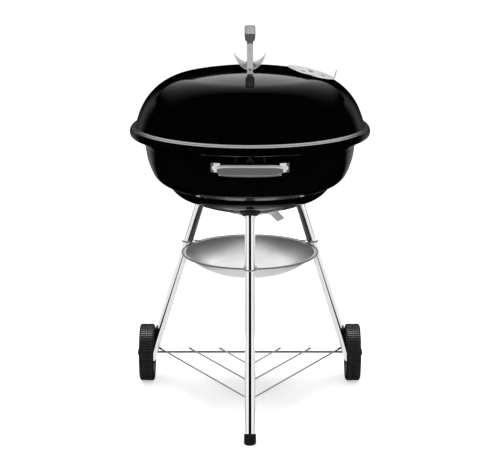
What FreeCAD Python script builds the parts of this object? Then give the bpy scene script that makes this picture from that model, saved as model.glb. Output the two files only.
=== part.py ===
import FreeCAD, Part
import Sketcher
import math
import os
from FreeCAD import Placement, Rotation, Vector

# Kettle charcoal grill: a lidded steel kettle on a three-legged stand with two wheels, a wire rack
# and an ash catcher. Millimetres and degrees, +Z up, the origin on the floor under the middle of the
# object, the front leg and the bowl handle towards -Y, the wheels towards +Y.

doc = FreeCAD.newDocument("kettle_grill")
sheet = doc.addObject("Spreadsheet::Sheet", "Sizes")


class Size:
    """A number together with the spreadsheet expression that gives it."""

    def __init__(self, value, text):
        self.value = value
        self.text = text

    def __add__(self, other):
        other = as_size(other)
        return Size(self.value + other.value, f"({self.text} + {other.text})")

    def __sub__(self, other):
        other = as_size(other)
        return Size(self.value - other.value, f"({self.text} - {other.text})")

    def __mul__(self, other):
        other = as_size(other)
        return Size(self.value * other.value, f"({self.text} * {other.text})")

    def __truediv__(self, other):
        other = as_size(other)
        return Size(self.value / other.value, f"({self.text} / {other.text})")

    def __neg__(self):
        return Size(-self.value, f"(0 - {self.text})")

    def __radd__(self, other):
        return as_size(other) + self

    def __rsub__(self, other):
        return as_size(other) - self

    def __rmul__(self, other):
        return as_size(other) * self

    def __rtruediv__(self, other):
        return as_size(other) / self


def as_size(number):
    return number if isinstance(number, Size) else Size(float(number), f"{float(number):.6f}")


def sine(angle):
    return Size(math.sin(math.radians(angle.value)), f"sin({angle.text})")


def cosine(angle):
    return Size(math.cos(math.radians(angle.value)), f"cos({angle.text})")


def root(number):
    return Size(math.sqrt(number.value), f"sqrt({number.text})")


def across(one, other):
    """Length of the diagonal of two sides at right angles."""
    return root(one * one + other * other)


def size(name, value, note):
    """Put one driving dimension into the sheet and return it."""
    row = size.rows = getattr(size, "rows", 0) + 1
    sheet.set(f"A{row}", name)
    sheet.set(f"B{row}", str(value))
    sheet.setAlias(f"B{row}", name)
    sheet.set(f"C{row}", note)
    return Size(float(value), f"Sizes.{name}")


# ---------------------------------------------------------------- driving dimensions

# Kettle. Radii of the kettle's outline are given as insets from the widest radius, so that the whole
# outline moves out or in when that radius changes.
kettle_radius = size("kettle_radius", 300, "widest radius, at the lid's flange")
sheet_wall = size("sheet_wall", 1.5, "wall of the bowl and the lid")
bowl_base_height = size("bowl_base_height", 504.5, "underside of the bowl above the floor")
bowl_depth = size("bowl_depth", 217, "bowl underside to the top of its rim bead")
dish_inset = size("dish_inset", 131.2, "edge of the bowl's bottom dish, in from the widest radius")
dish_rise = size("dish_rise", 36.9, "rise of the bottom dish from its middle to its edge")
heel_radius = size("heel_radius", 77.3, "rounding from the bottom dish up to the ledge")
ledge_inset = size("ledge_inset", 96.2, "foot of the ledge, in from the widest radius")
ledge_rise = size("ledge_rise", 69, "foot of the ledge above the bowl's underside")
ledge_width = size("ledge_width", 5.4, "width of the ledge that carries the charcoal grate")
ledge_step = size("ledge_step", 2.9, "rise across the ledge")
hip_inset = size("hip_inset", 57.2, "where the hip turns into the wall, in from the widest radius")
hip_rise = size("hip_rise", 99.7, "height of that turn above the bowl's underside")
hip_radius = size("hip_radius", 54.8, "rounding of the hip")
wall_inset = size("wall_inset", 39.8, "top of the curved wall, in from the widest radius")
wall_rise = size("wall_rise", 157.5, "height of the curved wall above the underside")
wall_curve = size("wall_curve", 170.5, "curve of the bowl wall")
flare_inset = size("flare_inset", 37.8, "foot of the flare, in from the widest radius")
flare_rise = size("flare_rise", 173.5, "foot of the flare above the bowl's underside")
flare_width = size("flare_width", 18.8, "width of the flare under the rim")
flare_height = size("flare_height", 18, "height of the flare under the rim")
bead_radius = size("bead_radius", 5, "radius of the bowl's rim bead")
bead_inset = size("bead_inset", 10.5, "middle of the rim bead, in from the widest radius")

# Lid
lid_gap = size("lid_gap", 0.35, "running gap between the lid and the bowl's rim bead")
lid_rise = size("lid_rise", 144.2, "top of the lid above the seat")
crown_share = size("crown_share", 0.5633, "edge of the lid's crown, as a share of the kettle's radius")
crown_fall = size("crown_fall", 0.06, "drop of the crown to its edge, as a share of the kettle's radius")
shoulder_radius = size("shoulder_radius", 146.6, "rounding of the lid's shoulder")
shoulder_inset = size("shoulder_inset", 25, "foot of the shoulder, in from the widest radius")
shoulder_drop = size("shoulder_drop", 109, "foot of the shoulder below the top of the lid")
lid_wall_curve = size("lid_wall_curve", 360, "curve of the lid's wall")
flange_inset = size("flange_inset", 14.5, "foot of the lid's wall, in from the widest radius")
flange_radius = size("flange_radius", 14.5, "rounding of the lid's flange")
flange_skirt = size("flange_skirt", 4, "straight part of the flange")
flange_curl = size("flange_curl", 9, "rounding of the flange's lower edge")

# Dampers
damper_wall = size("damper_wall", 1.5, "thickness of the damper discs")
lid_damper_radius = size("lid_damper_radius", 59, "radius of the lid damper")
lid_damper_tilt = size("lid_damper_tilt", 15, "tilt of the lid damper")
lid_damper_lift = size("lid_damper_lift", 2.1, "gap under the middle of the lid damper")
thumb_tab_height = size("thumb_tab_height", 22, "height of the lid damper's thumb tab")
thumb_tab_width = size("thumb_tab_width", 20, "width of the lid damper's thumb tab")
vent_hole_radius = size("vent_hole_radius", 9, "radius of a lid vent hole's rounded ends")
vent_hole_circle = size("vent_hole_circle", 31, "circle of the lid vent holes")
damper_gap = size("damper_gap", 0.5, "running gap between the bowl and its damper")
bowl_damper_radius = size("bowl_damper_radius", 58, "radius of the bowl damper")
bowl_vent_radius = size("bowl_vent_radius", 13, "radius of a bowl vent hole")
bowl_vent_circle = size("bowl_vent_circle", 33, "circle of the bowl vent holes")
finger_tab_reach = size("finger_tab_reach", 88, "end of the bowl damper's tab from its middle")
finger_tab_width = size("finger_tab_width", 40, "width of the bowl damper's tab")
finger_tab_round = size("finger_tab_round", 5, "rounding of the tab's two corners")
finger_tab_drop = size("finger_tab_drop", 16, "how far the tab's end bends down")
rivet_radius = size("rivet_radius", 3, "shank of the damper rivets")
rivet_head_radius = size("rivet_head_radius", 7, "head of the damper rivets")
rivet_head_height = size("rivet_head_height", 2.5, "height of a rivet head")
turning_gap = size("turning_gap", 0.06, "radial clearance of a turning fit")

# Lid handle
strap_width = size("strap_width", 15.4, "width of the lid handle's steel strap")
strap_wall = size("strap_wall", 2.5, "thickness of the handle straps")
strap_reach = size("strap_reach", 68, "outer face of a strap leg from the lid's axis")
strap_foot = size("strap_foot", 20, "length of a strap foot")
grip_length = size("grip_length", 152, "length of the lid grip")
grip_screw_place = size("grip_screw_place", 40.6, "screws of the lid grip, from its middle")
grip_width = size("grip_width", 27, "width of the lid grip")
grip_height = size("grip_height", 20, "height of the lid grip at its ends")
grip_arch = size("grip_arch", 8.5, "how much higher the grip is in the middle")
grip_base_rise = size("grip_base_rise", 73.5, "underside of the grip's ends above the top of the lid")
shield_radius = size("shield_radius", 40, "bend of the heat shield")
shield_half_width = size("shield_half_width", 38.6, "half the width of the heat shield")
shield_rise = size("shield_rise", 3.5, "underside of the heat shield above the top of the lid")
shield_wall = size("shield_wall", 1.2, "thickness of the heat shield")

# Bowl handle
handle_drop = size("handle_drop", 57.5, "middle of the bowl handle below the lid's seat")
handle_grip_length = size("handle_grip_length", 155, "length of the bowl grip")
handle_grip_height = size("handle_grip_height", 27, "height of the bowl grip")
handle_grip_depth = size("handle_grip_depth", 17, "depth of the bowl grip")
handle_screw_place = size("handle_screw_place", 44, "screws of the bowl handle, from its middle")
bracket_width = size("bracket_width", 22, "height of the bowl handle's steel bracket")
bracket_half_span = size("bracket_half_span", 93, "end of a bracket foot from the middle")
bracket_foot = size("bracket_foot", 20, "length of a bracket foot")
bracket_depth = size("bracket_depth", 8, "depth of the bracket's blank behind the bowl's wall")

# Fasteners
bolt_radius = size("bolt_radius", 3, "shank of the handle bolts")
bolt_head_radius = size("bolt_head_radius", 5.5, "head of the handle bolts")
bolt_head_height = size("bolt_head_height", 3.5, "height of a bolt head")
bolt_gap = size("bolt_gap", 0.2, "radial clearance around a bolt")

# Grates
grate_wire_radius = size("grate_wire_radius", 2.5, "rods of the cooking grate")
grate_ring_radius = size("grate_ring_radius", 3, "rim rod of the cooking grate")
grate_pitch = size("grate_pitch", 18, "spacing of the cooking grate's rods")
coal_wire_radius = size("coal_wire_radius", 3.5, "rods of the charcoal grate")
grate_cross_end = size("grate_cross_end", 6, "how far the cooking grate's cross rods stop short of its rim")
coal_ring_radius = size("coal_ring_radius", 4, "rim rod of the charcoal grate")
coal_cross_end = size("coal_cross_end", 14, "how far the charcoal grate's cross rods stop short of its rim")
coal_pitch = size("coal_pitch", 27, "spacing of the charcoal grate's rods")
seat_gap = size("seat_gap", 0.3, "gap between a loose piece and its seat")
nut_gap = size("nut_gap", 0.9, "gap between a nut and the sloping sheet behind it")
joint_gap = size("joint_gap", 0.2, "gap left between two curved faces that are fastened together")

# Stand
leg_radius = size("leg_radius", 12.7, "outer radius of the leg tubes")
leg_wall = size("leg_wall", 1.5, "wall of the leg tubes")
leg_splay = size("leg_splay", 19.54, "lean of each leg from upright")
leg_circle = size("leg_circle", 139.9, "where the leg axes meet the bowl, from the kettle's axis")
socket_radius = size("socket_radius", 26, "radius of a leg socket where it meets the bowl")
socket_foot_radius = size("socket_foot_radius", 17, "radius of a leg socket at its lower face")
socket_depth = size("socket_depth", 9, "depth of a leg socket below the bowl, along the leg")
spigot_length = size("spigot_length", 40, "length of the spigot inside the leg")
collar_height = size("collar_height", 6, "height of a leg collar")
collar_wall = size("collar_wall", 0.9, "thickness of a leg collar")
rear_leg_drop = size("rear_leg_drop", 20, "end of a rear leg's axis below the axle")
foot_cap_wall = size("foot_cap_wall", 1.9, "thickness of the foot cap around the leg")
sole_round = size("sole_round", 3, "rounding of the foot cap's lower edge")
foot_cap_height = size("foot_cap_height", 23, "length of the foot cap up the leg")

# Wheels
wheel_radius = size("wheel_radius", 76, "radius of the wheels")
wheel_width = size("wheel_width", 38.5, "width of the wheels")
tread_round = size("tread_round", 4, "rounding of the tread's edges")
wheel_wall = size("wheel_wall", 8, "thickness of the tread ring")
web_inset = size("web_inset", 9, "web of the wheel, in from its outer face")
web_wall = size("web_wall", 3, "thickness of the web")
hub_radius = size("hub_radius", 13, "radius of the wheel's hub")
hub_stand = size("hub_stand", 2, "how far the hub stands out of the wheel's outer face")
wheel_leg_gap = size("wheel_leg_gap", 2.5, "gap between a wheel and the leg")
axle_radius = size("axle_radius", 3.2, "radius of the axle")
axle_cap_radius = size("axle_cap_radius", 8, "radius of an axle cap")
axle_cap_height = size("axle_cap_height", 5, "height of an axle cap")
side_gap = size("side_gap", 0.5, "gap beside a wheel on the axle")

# Rack and ash catcher
rack_wire_radius = size("rack_wire_radius", 2, "wire of the rack")
rack_outer_half = size("rack_outer_half", 243, "end of the outer wires from the middle, over the axle")
rack_pitch = size("rack_pitch", 81, "spacing of the wires over the axle")
rack_spacing = size("rack_spacing", 149, "spacing of the wires' apexes")
rack_overhang = size("rack_overhang", 18, "how far the wires run past the axle")
rack_front_height = size("rack_front_height", 99, "front of the rack above the floor")
ash_height = size("ash_height", 394, "rim of the ash catcher above the floor")
ash_depth = size("ash_depth", 42, "depth of the ash catcher")
ash_floor_radius = size("ash_floor_radius", 101, "radius of the ash catcher's flat floor")
ash_wall = size("ash_wall", 1.2, "wall of the ash catcher")
ash_rim_width = size("ash_rim_width", 10, "width of the ash catcher's rim")
ash_curve = size("ash_curve", 150, "curve of the ash catcher's side")
clip_wire_radius = size("clip_wire_radius", 1.6, "wire of the ash catcher's clips")
rack_tip = size("rack_tip", 10, "length of the thick tip of a rack wire")
rack_tip_radius = size("rack_tip_radius", 3, "radius of the thick tip of a rack wire")
clip_gap = size("clip_gap", 0.3, "gap between a clip, its leg and the ash catcher")
clip_reach = size("clip_reach", 14, "how far a clip's ends lie over the ash catcher's rim")
ash_bead_radius = size("ash_bead_radius", 2, "radius of the ash catcher's rolled edge")
rack_bend = size("rack_bend", 12, "bend radius of a rack wire at its apex")
sole_depth = size("sole_depth", 6, "end of the front leg above the floor, at its axis")

# ---------------------------------------------------------------- places that follow from them

seat_height = bowl_base_height + bowl_depth
lid_top = seat_height + lid_gap + lid_rise
crown_edge = kettle_radius * crown_share
crown_drop = kettle_radius * crown_fall
crown_radius = (crown_edge * crown_edge + crown_drop * crown_drop) / (2 * crown_drop)
lid_damper_reach = kettle_radius / 2
handle_height = seat_height - handle_drop
handle_reach = 1 * kettle_radius
dish_edge = kettle_radius - dish_inset
dish_radius = (dish_edge * dish_edge + dish_rise * dish_rise) / (2 * dish_rise)


def lid_surface(reach):
    """Height of the lid's crown at a distance from the axis."""
    return lid_top - crown_radius + root(crown_radius * crown_radius - reach * reach)


def bowl_surface(reach):
    """Height of the bowl's underside at a distance from the axis."""
    return bowl_base_height + dish_radius - root(dish_radius * dish_radius - reach * reach)


leg_top_height = bowl_surface(leg_circle)
collar_radius = leg_radius + collar_wall
foot_cap_radius = leg_radius + foot_cap_wall


def leg_reach(height):
    """Distance of the leg axes from the kettle's axis at a height."""
    return leg_circle + (leg_top_height - height) * sine(leg_splay) / cosine(leg_splay)


REAR = math.radians(30)
REAR_X = math.cos(REAR)
REAR_Y = math.sin(REAR)


def leg_side(height):
    """How far out a rear leg reaches sideways at a height."""
    return leg_reach(height) * REAR_X + leg_radius / cosine(leg_splay)


axle_height = wheel_radius
axle_y = leg_reach(axle_height) * REAR_Y
tread_top = 2 * wheel_radius - wheel_wall
wheel_inner_x = leg_side(tread_top) + wheel_leg_gap
wheel_outer_x = wheel_inner_x + wheel_width
foot_front = leg_reach(as_size(0)) + foot_cap_radius / cosine(leg_splay)
bowl_axis_y = (foot_front - kettle_radius) / 2
hub_inner_x = leg_side(axle_height - hub_radius) + wheel_leg_gap
hub_outer_x = wheel_outer_x + hub_stand
shield_half_length = strap_reach - strap_wall - seat_gap
ash_radius = leg_reach(ash_height) - leg_radius / cosine(leg_splay) - clip_gap

# ---------------------------------------------------------------- helpers

nodes = []


def number(value):
    return value.value if isinstance(value, Size) else float(value)


def bind(obj, prop, value):
    """Set a property and tie it to the sheet."""
    if isinstance(value, Size):
        obj.setExpression(prop, value.text)


def node(obj, label, x=0, y=0, z=0, rotation=None):
    """Name a finished piece and move it from the kettle's axis to its place."""
    if not obj.Placement.isIdentity():
        obj = grouped(label, [obj])
    obj.Label = label
    base = [as_size(x), as_size(y) + bowl_axis_y, as_size(z)]
    obj.Placement = Placement(Vector(*[item.value for item in base]), rotation or Rotation())
    for letter, item in zip("xyz", base):
        if abs(item.value) > 1e-9:
            bind(obj, f"Placement.Base.{letter}", item)
    nodes.append(obj)
    return obj


def draw(sketch, corners, closed=True):
    """Draw corners (x, y) or (x, y, arc radius, bulge) as lines and arcs, each corner tied to the sheet.

    An arc runs from its corner to the next one, and bulges to the left (1) or right (-1) of the way.
    """
    count = len(corners) if closed else len(corners) - 1
    points = [Vector(number(c[0]), number(c[1]), 0) for c in corners]
    ends = []
    for i in range(count):
        start = points[i]
        end = points[(i + 1) % len(points)]
        if len(corners[i]) == 2:
            sketch.addGeometry(Part.LineSegment(start, end))
            ends.append((1, 2))
            continue
        radius = number(corners[i][2])
        bulge = corners[i][3]
        way = end - start
        left = Vector(-way.y, way.x, 0).normalize()
        depth = math.sqrt(max(radius * radius - way.Length * way.Length / 4, 0))
        middle = (start + end) * 0.5 - left * depth * bulge
        angle = [math.atan2(p.y - middle.y, p.x - middle.x) for p in (start, end)]
        if bulge > 0:
            angle.reverse()
        circle = Part.Circle(middle, Vector(0, 0, 1), radius)
        sketch.addGeometry(Part.ArcOfCircle(circle, angle[0], angle[1]))
        ends.append((2, 1) if bulge > 0 else (1, 2))
    for i in range(count):
        if closed or i + 1 < count:
            following = (i + 1) % count
            sketch.addConstraint(
                Sketcher.Constraint("Coincident", i, ends[i][1], following, ends[following][0])
            )
    for i, corner in enumerate(corners):
        line, end = (i, ends[i][0]) if i < count else (count - 1, ends[count - 1][1])
        for kind, value, axis in (("DistanceX", corner[0], -2), ("DistanceY", corner[1], -1)):
            if abs(number(value)) < 1e-9:
                sketch.addConstraint(Sketcher.Constraint("PointOnObject", line, end, axis))
                continue
            value = as_size(value)
            from_origin = value.value > 0
            refs = (-1, 1, line, end) if from_origin else (line, end, -1, 1)
            index = sketch.addConstraint(Sketcher.Constraint(kind, *refs, abs(value.value)))
            bind(sketch, f"Constraints[{index}]", value if from_origin else -value)
        if len(corner) > 2:
            radius = as_size(corner[2])
            index = sketch.addConstraint(Sketcher.Constraint("Radius", i, radius.value))
            bind(sketch, f"Constraints[{index}]", radius)


def new_body(name):
    return doc.addObject("PartDesign::Body", name)


def sketch_on(body, role, corners, closed=True):
    sketch = body.newObject("Sketcher::SketchObject", f"{body.Name}_outline")
    plane = [item for item in body.Origin.OriginFeatures if item.Role == role][0]
    sketch.AttachmentSupport = [(plane, "")]
    sketch.MapMode = "FlatFace"
    draw(sketch, corners, closed)
    return sketch


def turned(name, corners):
    """A body turned about its own Z axis from an outline of (radius, height) corners."""
    body = new_body(name)
    sketch = sketch_on(body, "XZ_Plane", corners)
    revolution = body.newObject("PartDesign::Revolution", f"{name}_turn")
    revolution.Profile = sketch
    revolution.ReferenceAxis = (sketch, ["V_Axis"])
    revolution.Angle = 360
    return body


def padded(name, role, corners, length):
    """A body padded half each way from an outline on one of its own planes."""
    body = new_body(name)
    sketch = sketch_on(body, role, corners)
    pad = body.newObject("PartDesign::Pad", f"{name}_pad")
    pad.Profile = sketch
    pad.Length = number(length)
    bind(pad, "Length", length)
    pad.Midplane = True
    return body


def skin(name, corners, wall, join="Tangent"):
    """A sheet-metal shell of revolution from an open path of its outer face, run from the axis to the rim."""
    path = doc.addObject("Sketcher::SketchObject", f"{name}_path")
    path.Placement = Placement(Vector(), Rotation(Vector(1, 0, 0), 90))
    draw(path, corners, closed=False)
    strip = doc.addObject("Part::Offset2D", f"{name}_strip")
    strip.Source = path
    strip.Fill = True
    strip.Mode = "Skin"
    strip.Join = join
    strip.Value = number(wall)
    bind(strip, "Value", wall)
    shell = doc.addObject("Part::Revolution", f"{name}_shell")
    shell.Source = strip
    shell.Axis = Vector(0, 0, 1)
    shell.Angle = 360
    return shell


def cylinder(name, radius, length, base=(0, 0, 0), rotation=None):
    rod = doc.addObject("Part::Cylinder", name)
    rod.Radius = number(radius)
    rod.Height = number(length)
    bind(rod, "Radius", radius)
    bind(rod, "Height", length)
    rod.Placement = Placement(Vector(*[number(item) for item in base]), rotation or Rotation())
    return rod


def bar(name, start, end, radius):
    """A round bar between two points."""
    rod = cylinder(name, radius, (end - start).Length)
    rod.Placement = Placement(start, Rotation(Vector(0, 0, 1), end - start))
    return rod


def cut(name, base, *tools):
    result = base
    for i, tool in enumerate(tools):
        step = doc.addObject("Part::Cut", f"{name}_cut_{i}")
        step.Base = result
        step.Tool = tool
        result = step
    return result


def fused(name, pieces):
    union = doc.addObject("Part::MultiFuse", f"{name}_union")
    union.Shapes = pieces
    return union


def grouped(name, pieces):
    """Several like solids kept apart in one node."""
    group = doc.addObject("Part::Compound", f"{name}_group")
    group.Links = pieces
    return group


def along_leg(azimuth):
    """Turns local +Z to run up a leg that stands at an azimuth from +X."""
    turn = Rotation(Vector(0, 0, 1), azimuth)
    return turn * Rotation(Vector(0, 1, 0), -leg_splay.value)


def leg_point(azimuth, height):
    reach = leg_reach(as_size(height))
    angle = math.radians(azimuth)
    return reach * math.cos(angle), reach * math.sin(angle), as_size(height)

# ---------------------------------------------------------------- bowl


def bowl_path(grow=0):
    """The bowl's outer face from the middle of its underside to the rim, moved outward by an amount."""
    base = bowl_base_height - grow
    side = kettle_radius + grow
    return [
        (0, base, dish_radius, -1),
        (side - dish_inset, base + dish_rise, heel_radius, -1),
        (side - ledge_inset, base + ledge_rise),
        (side - ledge_inset + ledge_width, base + ledge_rise + ledge_step, hip_radius, -1),
        (side - hip_inset, base + hip_rise, wall_curve, -1),
        (side - wall_inset, base + wall_rise),
        (side - flare_inset, base + flare_rise),
        (side - flare_inset + flare_width, base + flare_rise + flare_height),
        (side - bead_inset, seat_height - bead_radius),
    ]


def bowl_envelope(name):
    """The space inside the bowl's outer face, used to shape what is fastened to it."""
    return turned(name, bowl_path(joint_gap) + [(0, seat_height - bead_radius)])


bead = doc.addObject("Part::Torus", "rim_bead")
bind(bead, "Radius1", kettle_radius - bead_inset)
bind(bead, "Radius2", bead_radius)
bead.Placement = Placement(Vector(0, 0, (seat_height - bead_radius).value), Rotation())
bowl_vents = [
    cylinder(
        f"bowl_vent_{i}",
        bowl_vent_radius,
        4 * rivet_head_radius,
        (
            number(bowl_vent_circle) * math.cos(math.radians(90 + 120 * i)),
            number(bowl_vent_circle) * math.sin(math.radians(90 + 120 * i)),
            number(bowl_base_height - 2 * rivet_head_radius),
        ),
    )
    for i in range(3)
]
bowl_rivet_hole = cylinder(
    "bowl_rivet_hole", rivet_radius, 4 * rivet_head_radius, (0, 0, bowl_base_height - 2 * rivet_head_radius)
)
bowl_shell = fused("bowl", [skin("bowl", bowl_path(), sheet_wall), bead])

# ---------------------------------------------------------------- bowl damper

damper_top = bowl_base_height - damper_gap
damper_disc = cylinder("damper_disc", bowl_damper_radius, damper_wall, (0, 0, damper_top - damper_wall))
tab_start = bowl_damper_radius - 8
damper_tab = padded(
    "damper_tab",
    "XZ_Plane",
    [
        (tab_start, damper_top - damper_wall),
        (bowl_damper_radius + 11, damper_top - damper_wall),
        (finger_tab_reach, damper_top - damper_wall - finger_tab_drop),
        (finger_tab_reach, damper_top - finger_tab_drop),
        (bowl_damper_radius + 11, damper_top),
        (tab_start, damper_top),
    ],
    finger_tab_width,
)
tab_half = finger_tab_width / 2
tab_outline = padded(
    "tab_outline",
    "XY_Plane",
    [
        (tab_start, tab_half),
        (finger_tab_reach - finger_tab_round, tab_half, finger_tab_round, 1),
        (finger_tab_reach, tab_half - finger_tab_round),
        (finger_tab_reach, -(tab_half - finger_tab_round), finger_tab_round, 1),
        (finger_tab_reach - finger_tab_round, -tab_half),
        (tab_start, -tab_half),
    ],
    4 * finger_tab_drop,
)
tab_outline.Placement = Placement(Vector(0, 0, number(damper_top)), Rotation())
round_tab = doc.addObject("Part::MultiCommon", "round_tab")
round_tab.Shapes = [damper_tab, tab_outline]
FINGER_TAB_ANGLE = -28
round_tab.Placement = Placement(Vector(), Rotation(Vector(0, 0, 1), FINGER_TAB_ANGLE))
damper_holes = [
    cylinder(
        f"damper_hole_{i}",
        bowl_vent_radius,
        4 * damper_wall,
        (
            number(bowl_vent_circle) * math.cos(math.radians(90 + 120 * i)),
            number(bowl_vent_circle) * math.sin(math.radians(90 + 120 * i)),
            number(damper_top - 2 * damper_wall),
        ),
    )
    for i in range(3)
]
damper_bore = cylinder(
    "damper_bore", rivet_radius + turning_gap, 4 * damper_wall, (0, 0, damper_top - 2 * damper_wall)
)
damper_blank = fused("bowl_damper", [damper_disc, round_tab])
node(cut("bowl_damper", damper_blank, *damper_holes, damper_bore), "bowl_damper")

rivet_low = damper_top - damper_wall - seat_gap - rivet_head_height
rivet_high = bowl_base_height + sheet_wall + joint_gap
node(
    turned(
        "bowl_rivet",
        [
            (0, rivet_low),
            (rivet_head_radius, rivet_low),
            (rivet_head_radius, rivet_low + rivet_head_height),
            (rivet_radius, rivet_low + rivet_head_height),
            (rivet_radius, rivet_high),
            (rivet_head_radius, rivet_high),
            (rivet_head_radius, rivet_high + rivet_head_height),
            (0, rivet_high + rivet_head_height),
        ],
    ),
    "bowl_damper_rivet",
)

# ---------------------------------------------------------------- lid

flange_top = seat_height + 3.5
flange_side = flange_top - flange_radius
lid_path = [
    (0, lid_top, crown_radius, 1),
    (crown_edge, lid_top - crown_drop, shoulder_radius, 1),
    (kettle_radius - shoulder_inset, lid_top - shoulder_drop, lid_wall_curve, 1),
    (kettle_radius - flange_inset, flange_top, flange_radius, 1),
    (kettle_radius, flange_side),
    (kettle_radius, flange_side - flange_skirt, flange_curl, 1),
    (kettle_radius - flange_curl * 0.6, flange_side - flange_skirt - flange_curl * 0.8),
]
damper_axis = Rotation(Vector(0, 1, 0), lid_damper_tilt.value)
damper_origin = Vector(lid_damper_reach.value, 0, lid_surface(lid_damper_reach).value)
THUMB_TURN = 14


def on_damper(x, y, z):
    """A point given in the lid damper's own frame."""
    return damper_origin + damper_axis.multVec(Vector(number(x), number(y), number(z)))


def vent_tools(name, radius, depth, low):
    """Three holes, cut square to the lid damper."""
    tools = []
    for i in range(3):
        angle = math.radians(THUMB_TURN + 120 * i)
        reach = number(vent_hole_circle)
        base = on_damper(reach * math.cos(angle), -reach * math.sin(angle), low)
        tools.append(cylinder(f"{name}_{i}", radius, depth, base, damper_axis))
    return tools


lid_holes = vent_tools("lid_vent", vent_hole_radius - 1, 40, -20)
lid_rivet_hole = cylinder("lid_rivet_hole", rivet_radius + bolt_gap, 40, on_damper(0, 0, -20), damper_axis)
strap_leg_y = strap_reach - strap_wall
foot_middle = strap_reach + strap_foot * 0.55 - strap_wall
lid_bolt_holes = [
    cylinder(f"lid_bolt_hole_{side + 1}", bolt_radius + bolt_gap, 40, (0, side * foot_middle, lid_top - 20))
    for side in (-1, 1)
]
lid_shell = skin("lid", lid_path, sheet_wall, "Arc")
node(cut("lid", lid_shell, fused("lid_vents", lid_holes), lid_rivet_hole, *lid_bolt_holes), "lid")

# ---------------------------------------------------------------- lid damper

lid_disc = cylinder("lid_disc", lid_damper_radius, damper_wall, on_damper(0, 0, lid_damper_lift), damper_axis)
tab_base = lid_damper_radius - 4
thumb_tab = padded(
    "thumb_tab",
    "XZ_Plane",
    [
        (tab_base, lid_damper_lift),
        (tab_base + 4, lid_damper_lift),
        (tab_base + 6, lid_damper_lift + 2),
        (tab_base + 6, lid_damper_lift + thumb_tab_height),
        (tab_base + 6 - damper_wall, lid_damper_lift + thumb_tab_height),
        (tab_base + 6 - damper_wall, lid_damper_lift + 2 + damper_wall),
        (tab_base + 4 - damper_wall, lid_damper_lift + damper_wall),
        (tab_base, lid_damper_lift + damper_wall),
    ],
    thumb_tab_width,
)
thumb_tab.Placement = Placement(damper_origin, damper_axis)
disc_holes = vent_tools("disc_vent", vent_hole_radius, 4 * damper_wall, lid_damper_lift - damper_wall)
disc_bore = cylinder("disc_bore", rivet_radius + turning_gap, 30, on_damper(0, 0, -10), damper_axis)
node(
    cut("lid_damper", fused("lid_damper", [lid_disc, thumb_tab]), fused("disc_vents", disc_holes), disc_bore),
    "lid_damper",
)

lid_rivet = turned(
    "lid_rivet",
    [
        (0, -sheet_wall - 3.5),
        (rivet_head_radius - 1, -sheet_wall - 3.5),
        (rivet_head_radius - 1, -sheet_wall - 1),
        (rivet_radius, -sheet_wall - 1),
        (rivet_radius, lid_damper_lift + damper_wall + seat_gap),
        (rivet_head_radius, lid_damper_lift + damper_wall + seat_gap),
        (rivet_head_radius - 2, lid_damper_lift + damper_wall + seat_gap + rivet_head_height),
        (0, lid_damper_lift + damper_wall + seat_gap + rivet_head_height),
    ],
)
node(
    lid_rivet,
    "lid_damper_rivet",
    lid_damper_reach,
    0,
    lid_surface(lid_damper_reach),
    damper_axis,
)

# ---------------------------------------------------------------- lid handle

foot_base = lid_surface(foot_middle) + 1.2
grip_base = lid_top + grip_base_rise
grip_slot_top = grip_base + 6
leg_outer = strap_reach
strap_end = strap_reach + strap_foot


def strap_side(sign):
    """Corners of one strap leg with its foot, from the foot's end up, on one side of the lid's axis."""
    return [
        (sign * strap_end, foot_base),
        (sign * strap_end, foot_base + strap_wall),
        (sign * leg_outer, foot_base + strap_wall),
        (sign * leg_outer, grip_slot_top),
    ]


left_side = strap_side(as_size(-1))
right_side = strap_side(as_size(1))
inner_left = [
    (-1 * strap_leg_y, grip_slot_top - strap_wall),
    (-1 * strap_leg_y, foot_base),
]
inner_right = [
    (strap_leg_y, foot_base),
    (strap_leg_y, grip_slot_top - strap_wall),
]
strap_blank = padded(
    "strap_blank",
    "YZ_Plane",
    left_side + right_side[::-1] + inner_right + inner_left,
    strap_width,
)
strap_holes = [
    cylinder(f"strap_hole_{side + 1}", bolt_radius + bolt_gap, 12, (0, side * foot_middle, foot_base - 4))
    for side in (-1, 1)
]
strap_screw_holes = [
    cylinder(
        f"strap_screw_hole_{side + 1}",
        bolt_radius - 1 + bolt_gap,
        12,
        (0, side * grip_screw_place, grip_slot_top - 6),
    )
    for side in (-1, 1)
]
node(cut("lid_strap", strap_blank, *strap_holes, *strap_screw_holes), "lid_handle_strap")

half_grip = grip_length / 2
arch_radius = (half_grip * half_grip + grip_arch * grip_arch) / (2 * grip_arch)
grip_blank = padded(
    "grip_blank",
    "YZ_Plane",
    [
        (-1 * half_grip, grip_base),
        (-1 * half_grip, grip_base + grip_height, arch_radius, 1),
        (half_grip, grip_base + grip_height),
        (half_grip, grip_base),
    ],
    grip_width,
)
doc.recompute()
grip_pad = grip_blank.Tip
arched_edges = [
    f"Edge{i + 1}"
    for i, edge in enumerate(grip_pad.Shape.Edges)
    if edge.BoundBox.ZMin > (grip_base + 1).value and edge.BoundBox.YLength > 1
]
grip_rounds = grip_blank.newObject("PartDesign::Fillet", "grip_rounds")
grip_rounds.Base = (grip_pad, arched_edges)
grip_rounds.Radius = 5
strap_slot = doc.addObject("Part::Box", "strap_slot")
bind(strap_slot, "Length", strap_width + 2 * bolt_gap)
bind(strap_slot, "Width", 2 * strap_reach + 2 * bolt_gap)
bind(strap_slot, "Height", grip_slot_top - grip_base + bolt_gap + 10)
strap_slot.Placement = Placement(
    Vector(
        -number(strap_width / 2 + bolt_gap),
        -number(strap_reach + bolt_gap),
        number(grip_base - 10),
    ),
    Rotation(),
)
grip_screw_holes = [
    cylinder(
        f"grip_screw_hole_{side + 1}",
        bolt_radius - 1,
        8,
        (0, side * grip_screw_place, grip_slot_top - 1),
    )
    for side in (-1, 1)
]
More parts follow.
